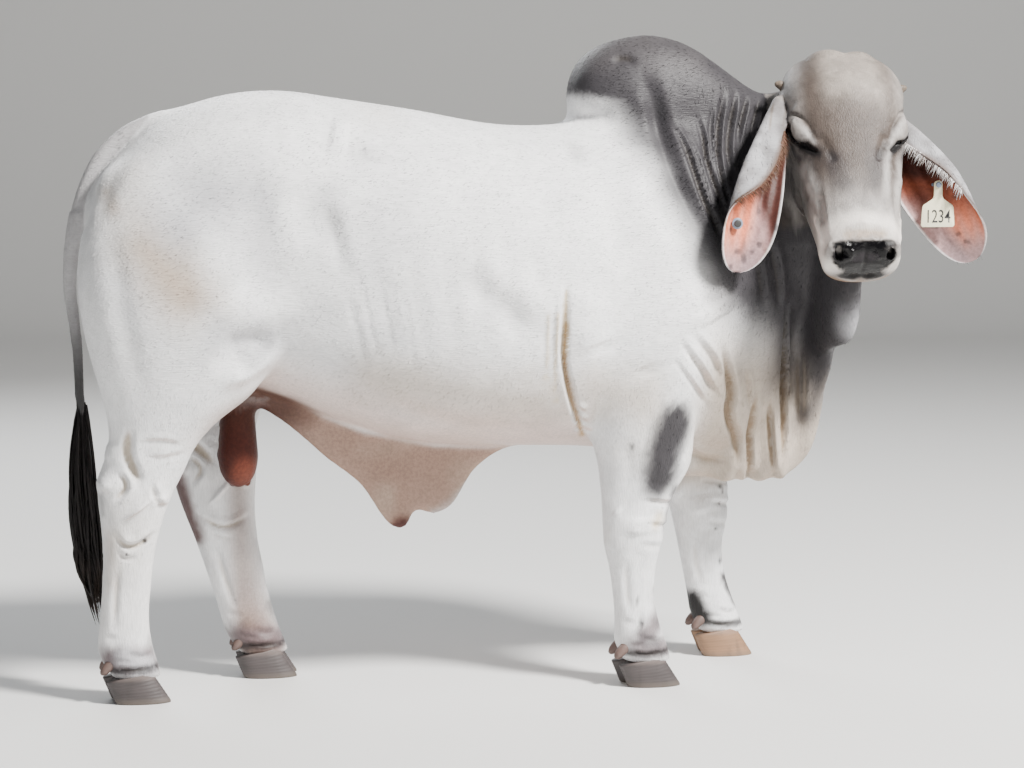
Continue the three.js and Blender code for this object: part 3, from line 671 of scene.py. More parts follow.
def rounded_read(share: ARRAY, table: tuple) -> ARRAY:
    """A table's second column read at the shares, with its corners rounded by a running mean."""
    value = np.interp(share, *np.array(table, float).T)
    return np.convolve(np.pad(value, 5, mode="edge"), np.ones(11) / 11, "valid")


@dataclass
class Ear:
    """An ear: a long leaf rolled at its root, hanging along a bent middle line, open to the front.

    Its outer side is longer near the root: a flap that turns over forwards and covers the cavity,
    so the hairy back shows there.  The flap and its turn are given along the ear's length.
    """

    side: Side
    root: tuple
    middle: tuple
    tip: tuple
    facing: tuple
    cup: float
    width: float
    widest: float
    narrow: float
    flap: tuple
    turn: tuple
    thickness: float = 7.0
    rows: int = 90
    columns: int = 69

    def sheet(self) -> tuple[ARRAY, ...]:
        """The leaf's middle surface.

        The middle line is a quadratic curve.  A cross-section is walked from its middle: its heading
        turns evenly through the cup's angle, and over 24 mm near the outer edge by what is left of
        the turn.  The half-width rises smoothly to the widest place and falls as an ellipse.

        Returns:
            Rows x columns x 3 places, headings and normals; the place across in half-widths, more
            than 1 on the flap; the share of the length and how far it is beyond the widest place.
        """
        t = np.linspace(0, 1, self.rows)[:, None]
        root, middle, tip = (np.asarray(p, float) for p in (self.root, self.middle, self.tip))
        line = (1 - t) ** 2 * root + 2 * t * (1 - t) * middle + t**2 * tip
        down = unit(2 * (1 - t) * (middle - root) + 2 * t * (tip - middle))
        facing = np.asarray(self.facing, float)
        front = unit(facing - (down @ facing)[:, None] * down)
        level = np.cross(down, front)
        beyond = np.maximum((t - self.widest) / (1.003 - self.widest), 0)
        rise = ease(t, -0.1, self.widest)
        half = self.width * (self.narrow + (1 - self.narrow) * rise) * np.sqrt(1 - beyond**2)
        curl = 1.25 + (self.cup / 2 - 1.25) * np.minimum(t * 2.2, 1)
        outer = -self.side.value
        share = np.linspace(-1, 1, self.columns)[None, :] * outer
        longer = half + rounded_read(t[:, 0], self.flap)[:, None]
        across = share * np.where(share > 0, longer / half, 1)
        fold = np.maximum(rounded_read(t[:, 0], self.turn)[:, None] - curl, 0)
        heading = outer * (np.clip(across, -1, 1) * curl + fold * ease((across - 0.7) * half, 0, 24))
        way = np.cos(heading)[:, :, None] * level[:, None] + np.sin(heading)[:, :, None] * front[:, None]
        normal = np.sin(heading)[:, :, None] * level[:, None] - np.cos(heading)[:, :, None] * front[:, None]
        stretch = np.where(share[:, 1:] + share[:, :-1] > 0, longer, half) * (2 / (self.columns - 1))
        steps = (way[:, 1:] + way[:, :-1]) / 2 * stretch[:, :, None]
        walked = np.concatenate([np.zeros((self.rows, 1, 3)), np.cumsum(steps, axis=1)], axis=1)
        skin = line[:, None] + walked - walked[:, self.columns // 2][:, None]
        return skin, way, normal, across, t, beyond

    def walls(self) -> tuple[ARRAY, ARRAY, ARRAY, ARRAY]:
        """The back and front skins as grids, with the share of the length and the place across.

        The skin thins towards the rim, low ridges run along the inside and the rim ripples a little.
        """
        skin, _, normal, across, t, beyond = self.sheet()
        edge = np.abs(np.linspace(-1, 1, self.columns))[None, :]
        thick = self.thickness / 2 * (1 - 0.45 * edge)
        ridge = 2.6 * np.sin(np.pi * across * 4.5) * np.maximum(1 - across**2, 0)
        ridge = ridge * ease(t, 0.1, 0.3) * (1 - beyond)
        ripple = 2.5 * np.sin(13 * t + 2 * edge) * edge**3
        back = skin + normal * (thick + ripple)[:, :, None]
        inside = skin + normal * (ripple + ridge - thick)[:, :, None]
        return back, inside, t, across

    def form(self) -> Form:
        """The leaf, closed round its rim."""
        back, inside, _, _ = self.walls()
        return skinned(np.concatenate([back, inside[:, ::-1]], axis=1))

    def place(self, points: ARRAY) -> tuple[ARRAY, ARRAY, ARRAY, ARRAY]:
        """Where points lie on the ear, by the nearest point of its two grids.

        Args:
            points: n x 3 places in the body's frame.

        Returns:
            The share of the ear's length, -1 away from the ear; the place across it in half-widths,
            positive towards the flap; how near the rim, 1 on it; and 1 inside or 0 on the back.
        """
        back, inside, t, across = self.walls()
        grid = np.concatenate([back.reshape(-1, 3), inside.reshape(-1, 3)])
        near = np.flatnonzero(np.all((points > grid.min(0) - 8) & (points < grid.max(0) + 8), axis=1))
        along, place, rim, within = np.full(len(points), -1.0), *np.zeros((3, len(points)))
        centre = grid.mean(0)
        target = grid - centre
        size = (target**2).sum(1)
        count = self.rows * self.columns
        for part in np.array_split(near, max(1, len(near) // 2000)):
            seen = points[part] - centre
            away = size[None] - 2 * seen @ target.T
            pick = away.argmin(1)
            gap = np.sqrt(np.maximum(away[np.arange(len(part)), pick] + (seen**2).sum(1), 0))
            row, column = np.divmod(pick % count, self.columns)
            on = (gap < 7) & (t[row, 0] > 0.04)
            along[part[on]] = t[row, 0][on]
            place[part] = across[row, column]
            rim[part] = np.abs(column / (self.columns - 1) * 2 - 1)
            within[part] = pick >= count
        return along, place, rim, within


EARS = [
    Ear(
        side=Side.NEAR,
        root=(800, -160, 1466),
        middle=(676, -350, 1277),
        tip=(648, -312, 1052),
        facing=(0.2, -0.97, 0.1),
        cup=1.6,
        width=82,
        widest=0.7,
        narrow=0.42,
        flap=((0, 50), (0.2, 56), (0.33, 66), (0.42, 66), (0.5, 56), (0.58, 38), (0.66, 14), (0.72, 0)),
        turn=((0, 2.9), (0.55, 2.8), (0.74, 0.8)),
    ),
    Ear(
        side=Side.FAR,
        root=(1080, -195, 1410),
        middle=(1150, -330, 1280),
        tip=(1280, -268, 1072),
        facing=(-0.35, -0.93, -0.1),
        cup=1.3,
        width=94,
        widest=0.52,
        narrow=0.58,
        flap=((0, 45), (0.15, 52), (0.3, 36), (0.5, 18), (0.8, 8), (0.95, 0)),
        turn=((0, 2.9), (0.3, 2.7), (0.6, 2.1), (0.95, 0.65)),
    ),
]


# Sculpting: soft ridges and grooves laid along lines on the surface


class Space(Enum):
    """Where a stroke's points are measured."""

    FLANK = "x and z, as seen from the side"
    BODY = "x, y and z of the body"
    HEAD = "x, y and s of the head, on both halves"


@dataclass(frozen=True)
class Stroke:
    """A ridge (height above 0) or groove (below 0) along a line, with an optional lip beside it.

    The surface moves along its normal by height * exp(-(d / width)^2), where d is the distance from
    the line, less towards the line's ends.  A stroke with a facing, -1 near or 1 far, only reaches
    faces that look to that side, and the band is its two limits of Y.
    """

    line: tuple
    width: float
    height: float
    lip: float = 0.0
    space: Space = Space.FLANK
    facing: int = 0
    band: tuple = (-500.0, 500.0)
    taper: float = 0.35


def line_distance(points: ARRAY, line: ARRAY) -> tuple[ARRAY, ARRAY, ARRAY]:
    """Each point's distance from a line of straight steps, its side of it and where along it is nearest.

    Args:
        points: n x 2 or n x 3.
        line: k x 2 or k x 3.

    Returns:
        n distances, n signs that are +1 to the left of a 2-D line and 0 for a 3-D one, and n shares
        of the line's length.
    """
    best = np.full(len(points), np.inf)
    sign, share = np.zeros(len(points)), np.full(len(points), 0.5)
    if len(line) == 1:
        return np.linalg.norm(points - line[0], axis=1), sign, share
    lengths = np.linalg.norm(np.diff(line, axis=0), axis=1)
    walked = np.concatenate([[0], np.cumsum(lengths)]) / lengths.sum()
    for index, (start, end) in enumerate(zip(line[:-1], line[1:])):
        step = end - start
        along = np.clip((points - start) @ step / (step @ step), 0, 1)
        offset = points - start - along[:, None] * step
        distance = np.linalg.norm(offset, axis=1)
        nearer = distance < best
        best[nearer] = distance[nearer]
        share[nearer] = walked[index] + along[nearer] * (walked[index + 1] - walked[index])
        if points.shape[1] == 2:
            sign[nearer] = np.sign(step[0] * offset[nearer, 1] - step[1] * offset[nearer, 0])
    return best, sign, share


def rounded(line: ARRAY) -> ARRAY:
    """A line with its corners cut twice, each step kept to its middle half, with its ends kept."""
    for _ in range(2):
        if len(line) < 3:
            return line
        quarter = line[:-1] * 0.75 + line[1:] * 0.25
        late = line[:-1] * 0.25 + line[1:] * 0.75
        cut = np.stack([quarter, late], 1).reshape(-1, line.shape[1])
        line = np.concatenate([line[:1], cut[1:-1], line[-1:]])
    return line


def lifted(form: Form, strokes: list[Stroke]) -> ARRAY:
    """How far the strokes together move each corner along its normal."""
    corners, normals = form.corners, form.normals()
    views = {Space.FLANK: corners[:, [0, 2]], Space.BODY: corners}
    head = to_head(corners)
    moved = np.zeros(len(corners))
    for stroke in strokes:
        line = rounded(np.asarray(stroke.line, float))
        for mirror in (-1, 1) if stroke.space is Space.HEAD else (1,):
            if stroke.space is Space.HEAD:
                points = head * [mirror, 1, 1]
            else:
                points = views[stroke.space]
            reach = 3.2 * stroke.width + (2 * stroke.width if stroke.lip else 0)
            inside = np.all((points > line.min(0) - reach) & (points < line.max(0) + reach), axis=1)
            inside &= (corners[:, 1] > stroke.band[0]) & (corners[:, 1] < stroke.band[1])
            index = np.flatnonzero(inside)
            if not len(index):
                continue
            distance, sign, share = line_distance(points[index], line)
            rise = stroke.height * np.exp(-((distance / stroke.width) ** 2))
            if stroke.lip:
                beside = distance * sign * np.sign(stroke.lip) - 1.9 * stroke.width
                rise += abs(stroke.lip) * np.exp(-((beside / (1.3 * stroke.width)) ** 2))
            if stroke.facing:
                rise *= np.clip(1.6 * stroke.facing * normals[index, 1] + 0.1, 0, 1)
            if len(line) > 1:
                rise *= 1 if line[0, 0] == 0 else ease(share, -0.05, stroke.taper)
                rise *= ease(1 - share, -0.05, stroke.taper)
            moved[index] += rise
    return moved


def sculpted(form: Form, strokes: list[Stroke]) -> Form:
    """The form with every stroke added along the normals that it had before them."""
    return Form(form.corners + form.normals() * lifted(form, strokes)[:, None], form.faces)


def mirrored(strokes: list[Stroke]) -> list[Stroke]:
    """The same flank strokes for the other side of the body."""
    return [replace(one, facing=-one.facing, band=(-one.band[1], -one.band[0])) for one in strokes]


NEAR_SIDE = (-500.0, 30.0)


def flank(line: tuple, width: float, height: float, lip: float = 0.0) -> Stroke:
    """A stroke on the near flank."""
    return Stroke(line, width, height, lip, Space.FLANK, -1, NEAR_SIDE)


# Positive lips lie to the left of a line as it is drawn in x and z
BOTH_FLANKS = [flank(*row) for row in (
    (((-42, 1128), (49, 1040), (174, 960), (225, 900)), 48, 9),
    (((-60, 1070), (40, 975), (160, 890)), 34, -9),
    (((-372, 1240), (-345, 1130), (-330, 1050)), 20, -5, 3),
    (((-325, 1030), (-289, 897), (-262, 810)), 9, -1.6, 1.2),
    (((-300, 1090), (-262, 930), (-240, 830)), 6, -1.0, 0.8),
    (((-246, 1060), (-214, 900), (-196, 820)), 6, -1.0, 0.7),
    (((-190, 1040), (-166, 900), (-152, 800)), 6, -0.9, 0.6),
    (((-440, 1290), (-405, 1198), (-372, 1110)), 62, -15),
    (((-350, 1395), (-300, 1380)), 48, 8),
    (((-880, 1215), (-862, 1010), (-830, 850), (-800, 730)), 26, -6),
    (((-690, 965), (-590, 985), (-480, 975), (-420, 1000)), 46, 13),
    (((-625, 880), (-555, 893), (-490, 893)), 30, -20),
    (((-650, 850), (-580, 850), (-520, 830)), 30, -10),
    (((-468, 900), (-500, 850), (-560, 812), (-630, 790)), 20, 11),
    (((-700, 1230), (-640, 1130), (-600, 1020)), 60, 7),
    (((-560, 1330), (-520, 1200), (-500, 1080)), 40, -6),
    (((214, 1040), (206, 904), (212, 829), (240, 738), (290, 640)), 8, -17, -3),
    (((272, 1030), (262, 930), (272, 830)), 46, 13),
    (((180, 1000), (178, 900), (186, 800)), 5, -2.0, 1.5),
    (((160, 960), (158, 880), (162, 810)), 4, -1.4, 1.0),
    (((392, 1372), (432, 1200), (505, 1050)), 40, 7),
    (((330, 1280), (345, 1150), (380, 1040)), 40, -6),
    (((590, 975), (610, 930)), 58, 11),
    (((498, 890), (568, 806), (640, 722)), 7, -7, 5),
    (((530, 905), (600, 835), (655, 760)), 8, -6, 5),
    (((480, 850), (545, 770), (615, 700)), 6, -4, 3),
    (((417, 825), (430, 790)), 36, -6),
    (((301, 885), (312, 850)), 34, -6),
    (((248, 715), (282, 700)), 6, -5, 4),
    (((252, 690), (292, 672)), 6, -5, 4),
    (((262, 662), (306, 646)), 6, -5, 4),
    (((268, 1351),), 26, -4),
    (((-290, 1352), (-260, 1350)), 22, -3),
    (((295, 1450), (330, 1432), (385, 1436)), 15, -8),
    (((-250, 760), (-120, 690), (60, 650), (200, 655)), 26, -6),
    (((-790, 1380), (-850, 1335), (-893, 1260), (-905, 1180)), 22, -10),
)]
BOTH_FLANKS += [
    flank(((x, 1220 - 0.5 * abs(x)), (x + 45, 780 + 0.3 * abs(x))), 24, -2.4)
    for x in range(-250, 200, 75)
]

NEAR_NECK = [flank(*row) for row in (
    (((446, 1556), (476, 1490), (492, 1400), (503, 1300), (549, 1195), (590, 1090)), 20, -15, 9),
    (((520, 1420), (545, 1370), (558, 1323), (575, 1237), (612, 1165), (640, 1100)), 7, -13, 8),
    (((556, 1400), (574, 1340), (590, 1250), (622, 1170)), 5, -7, 5),
    (((590, 1440), (603, 1395), (602, 1323), (625, 1237), (652, 1170)), 6, -12, 7),
    (((640, 1470), (624, 1390), (615, 1323), (634, 1237)), 5, -7, 5),
    (((673, 1506), (646, 1403), (629, 1323), (645, 1236), (670, 1180)), 6, -13, 7),
    (((706, 1506), (685, 1418), (664, 1345), (668, 1280)), 6, -12, 6),
    (((741, 1496), (715, 1425), (696, 1362)), 5, -11, 6),
    (((779, 1486), (753, 1430), (738, 1380)), 5, -10, 6),
    (((815, 1476), (790, 1430), (778, 1390)), 5, -8, 5),
    (((380, 1572), (410, 1582), (446, 1572)), 11, -8),
    (((425, 1500), (455, 1440), (462, 1380)), 30, 6),
    (((520, 1100), (580, 1010), (600, 930)), 30, -7, 4),
    (((700, 1160), (735, 1050), (752, 940)), 9, -8, 6),
    (((760, 1140), (790, 1040), (800, 940)), 9, -8, 6),
)]
FAR_NECK = [
    Stroke(((470, 1540), (500, 1430), (512, 1300), (560, 1180)), 17, -10, 6, Space.FLANK, 1, (-60, 500)),
    Stroke(((640, 1480), (660, 1380), (700, 1280)), 10, -5, 4, Space.FLANK, 1, (-60, 500)),
    Stroke(((760, 1440), (790, 1360), (840, 1280)), 10, -5, 4, Space.FLANK, 1, (-60, 500)),
]
BRISKET = [flank(*row) for row in (
    (((622, 870), (673, 752), (663, 680), (715, 608), (728, 520)), 9, -19, 11),
    (((744, 760), (748, 640), (767, 480)), 7, -17, 8),
    (((800, 720), (806, 620), (822, 500)), 6, -16, 6),
    (((826, 960), (834, 835), (840, 700), (842, 540)), 6, -23, 8),
    (((700, 820), (722, 740), (735, 680)), 6, -6, 5),
    (((874, 860), (880, 740), (886, 620)), 9, -9, 6),
    (((560, 590), (640, 556), (700, 548)), 9, -8, 6),
)]
# Lobes and notches of the dewlap's lower edge
LOBES = [
    Stroke(((x, -80, 505), (x, 80, 505)), 15, depth, 0.0, Space.BODY, taper=0.01)
    for x, depth in ((700, 6), (730, -13), (750, 5), (768, -15), (795, 6), (822, -13), (846, 5))
]


def leg_strokes(leg: Leg) -> list[Stroke]:
    """The bones, tendons and creases of one leg, placed by height and share of its depth there."""
    table = np.array(leg.rows, float)[::-1]
    heights, rears, fronts = table[:, 0], table[:, 1], table[:, 2]
    out = leg.side.value * float(np.interp(400, heights, table[:, 3]))
    band = (out - 130, out + 130)

    def spot(z: float, share: float) -> tuple:
        """The x and z of a place a share of the way from the leg's rear to its front."""
        rear, front = np.interp(z, heights, rears), np.interp(z, heights, fronts)
        return (rear + share * (front - rear), z)

    def on(spots: tuple, width: float, height: float, lip: float = 0.0) -> Stroke:
        """A stroke through spots given as (z, share)."""
        return Stroke(tuple(spot(z, s) for z, s in spots), width, height, lip, Space.FLANK, 0, band)

    common = [
        on(((150, 0.35), (118, 0.55)), 26, 5),
        on(((94, 0.15), (85, 0.5), (92, 0.9)), 6, -7, 4),
        on(((128, 0.45), (116, 0.75), (120, 0.98)), 6, -4, 3),
        on(((170, 0.1), (160, 0.4)), 8, -3, 2),
        on(((112, 0.2), (104, 0.55)), 6, -3, 2),
    ]
    if leg.name.startswith("fore"):
        return common + [
            on(((640, 0.25), (560, 0.3), (500, 0.25)), 16, -4),
            on(((600, 0.62), (520, 0.66)), 22, 4),
            on(((440, 0.5), (385, 0.52)), 34, 8),
            on(((400, 0.42),), 15, 5),
            on(((452, 0.12), (440, 0.22)), 16, 7),
            on(((345, 0.3), (335, 0.7)), 16, -3),
            on(((335, 0.3), (250, 0.27), (175, 0.3)), 8, -5),
            on(((478, 0.5), (462, 1.05)), 6, -5, 3),
            on(((420, 0.6), (402, 1.1)), 6, -5, 3),
            on(((366, 0.5), (352, 1.05)), 8, -4, 2),
        ]
    return common + [
        on(((690, 0.2), (628, 0.2), (575, 0.4), (545, 0.52)), 11, -17, 4),
        on(((650, 0.05), (600, 0.05)), 16, 6),
        on(((544, 0.1),), 19, 15),
        on(((575, 0.18), (560, 0.3), (536, 0.34), (505, 0.2)), 7, -10, 4),
        on(((490, 0.5), (478, 0.56)), 30, 12),
        on(((520, 0.8), (490, 0.86)), 20, 6),
        on(((555, 0.62), (520, 0.72), (480, 0.9)), 7, -6, 4),
        on(((430, 0.2), (395, 0.36), (392, 0.6), (425, 0.92)), 7, -10, 6),
        on(((384, 0.25), (360, 0.42), (366, 0.66)), 7, -5, 4),
        on(((648, 0.3), (655, 0.5), (640, 0.8)), 7, -3, 2),
        on(((618, 0.42), (606, 0.65), (622, 0.9)), 7, -2.5, 2),
        on(((350, 0.3), (250, 0.27), (175, 0.3)), 8, -6),
    ]


def all_strokes() -> list[Stroke]:
    """Every stroke on body, legs and face, but the nostrils."""
    strokes = BOTH_FLANKS + mirrored(BOTH_FLANKS) + NEAR_NECK + FAR_NECK
    strokes += BRISKET + mirrored(BRISKET) + LOBES + FACE
    for leg in LEGS:
        strokes += leg_strokes(leg)
    return strokes


def on_head(line: tuple, width: float, height: float) -> Stroke:
    """A stroke on both halves of the head."""
    return Stroke(line, width, height, 0.0, Space.HEAD, taper=0.15)


FACE = [on_head(*row) for row in (
    (((0, 34, 60), (0, 32, 190)), 34, 2.5),
    (((148, -40, 120), (150, -70, 158)), 24, -6),
    (((149, -56, 165), (137, -24, 205), (115, -14, 242), (96, -14, 284)), 8, 2.5),
    (((150, -50, 156), (127, -8, 190), (103, 0, 234), (88, -8, 284)), 4, -6),
    (((151, -60, 182), (144, -44, 210), (128, -38, 244), (108, -30, 272)), 8, -5),
    (((132, -42, 252), (112, -30, 276), (90, -22, 298)), 5, -8),
    (((138, -74, 226), (134, -72, 252), (114, -58, 284)), 9, 4),
    (((143, -92, 222), (138, -92, 258), (118, -80, 292)), 5, -4),
    (((146, -112, 226), (138, -112, 266), (120, -100, 304)), 6, -2.5),
    (((92, -2, 262), (80, -4, 300)), 14, -3),
    (((80, -2, 262), (66, -9, 294), (54, -13, 336)), 10, -4),
    (((108, -58, 362),), 26, 7),
    (((124, -80, 330), (112, -84, 400)), 14, -3),
    (((86, -20, 350), (86, -34, 440), (84, -44, 520)), 9, 4),
    (((98, -46, 410), (96, -60, 490)), 13, -5),
    (((104, -84, 455), (98, -78, 500), (96, -82, 530)), 9, 4),
    (((128, -130, 330), (108, -200, 345)), 22, -7),
    (((0, -14, 470), (60, -28, 474)), 14, -3),
    (((0, -20, 514), (48, -30, 516), (84, -62, 530)), 13, 4),
    (((80, -48, 552), (84, -78, 566), (74, -104, 574)), 10, 6),
    (((26, -36, 560), (30, -62, 586)), 10, 3),
    (((0, -40, 566), (0, -70, 592), (0, -118, 600)), 5, -1.5),
    (((97, -126, 462), (92, -129, 500), (80, -128, 545), (52, -130, 580), (0, -128, 600)), 4.5, -9),
    (((88, -142, 500), (70, -142, 552), (30, -146, 588), (0, -146, 594)), 12, 5),
    (((86, -112, 505), (74, -108, 552), (40, -112, 592)), 11, 3),
    (((108, -196, 440), (84, -190, 520)), 20, 4),
)]
NOSTRILS = [on_head(*row) for row in (
    (((60, -40, 560), (66, -50, 572), (58, -66, 588)), 8, -25),
    (((52, -46, 576), (46, -62, 592)), 7, -15),
    (((70, -66, 572), (68, -90, 584)), 5, -10),
    (((32, -44, 574), (34, -70, 596)), 7, 4),
)]


# Paint: named colours laid over zones of the hide, shared by skin and coat; some zones are markings, others
# painted shade, painted shadow and painted highlights


# Paint darker than this is deepened, so that markings stand out on the pale hide
DEEPEN = 0.86
PALE = (0.86, 0.86, 0.865)
COOL = (0.56, 0.56, 0.58)
CHARCOAL = (0.054, 0.050, 0.056)
ASH = (0.155, 0.145, 0.147)
CREAM = (0.54, 0.45, 0.36)
BRISKET_TAN_SHADOWED = (0.45, 0.375, 0.30)
TAN = (0.47, 0.38, 0.30)
STAIN = (0.62, 0.49, 0.28)
BARE_PINK = (0.52, 0.33, 0.25)
SHEATH_TAN = (0.36, 0.23, 0.17)
BRICK = (0.105, 0.030, 0.020)
GROIN = (0.10, 0.042, 0.028)
PLUM = (0.19, 0.150, 0.160)
EAR_RUST = (0.30, 0.105, 0.065)
GOLD = (0.44, 0.29, 0.12)
TIP_BROWN = (0.10, 0.030, 0.025)
FACE_GREY = (0.130, 0.108, 0.096)
FOREHEAD = (0.355, 0.322, 0.292)
FACE_PALE = (0.46, 0.440, 0.425)
MUZZLE_PALE = (0.74, 0.70, 0.66)
EYE_SHADE = (0.035, 0.030, 0.030)
NEAR_BLACK = (0.012, 0.010, 0.011)
NOSE_BLACK = (0.007, 0.006, 0.008)
LIP_TAN = (0.24, 0.16, 0.105)
EAR_PINK = (0.74, 0.33, 0.235)
EAR_ORANGE = (0.74, 0.24, 0.12)
EAR_BROWN = (0.13, 0.075, 0.05)
EAR_CAVITY_SHADE = (0.085, 0.030, 0.022)
EAR_LILAC = (0.42, 0.32, 0.33)


def noise(points: ARRAY, size: float, seed: float = 0.0) -> ARRAY:
    """Smooth noise from -1 to 1: values hashed on a lattice, blended inside each cell.

    Args:
        points: n x 3 places in millimetres.
        size: the lattice's spacing.
        seed: which of many such noises.

    Returns:
        n numbers.
    """
    spot = points / size
    cell = np.floor(spot)
    inside = spot - cell
    inside = inside * inside * (3 - 2 * inside)
    total = np.zeros(len(points))
    for corner in np.ndindex(2, 2, 2):
        at = cell + corner
        hashed = np.sin(at @ [12.9898, 78.233, 37.719] + seed) * 43758.5453
        weight = np.prod(np.where(corner, inside, 1 - inside), axis=1)
        total += weight * (hashed - np.floor(hashed))
    return total * 2 - 1


@dataclass(frozen=True)
class Zone:
    """A colour laid within width of a line, its edge soft and a little ragged."""

    colour: tuple
    line: tuple
    width: float
    soft: float
    amount: float = 1.0
    space: Space = Space.FLANK
    facing: int = 0
    band: tuple = (-500.0, 500.0)
    ragged: float = 0.35


def plain(colour: tuple, points: ARRAY) -> ARRAY:
    """One colour for every point."""
    return np.tile(np.array(colour), (len(points), 1))


def over(base: ARRAY, colour: tuple | ARRAY, mask: ARRAY) -> ARRAY:
    """Colour laid over the base by the mask."""
    return base + mask[:, None] * (np.asarray(colour) - base)


def read(value: ARRAY, table: tuple) -> ARRAY:
    """A table of pairs read at the values by straight steps."""
    return np.interp(value, *zip(*table))


# The edge of the grey as height and x, the belly's as x and height, the jaw's as s and level
GREY_EDGE = (
    (900, 700), (960, 650), (1030, 610), (1120, 565), (1225, 515), (1300, 480), (1385, 440), (1440, 405),
    (1475, 365), (1505, 230),
)
BELLY_LINE = ((-560, 790), (-440, 745), (-340, 690), (-245, 650), (-60, 610), (125, 600), (235, 598))
JAW_EDGE = (
    (-60, -160), (100, -262), (232, -262), (300, -254), (370, -236), (435, -218), (500, -205), (576, -186),
)


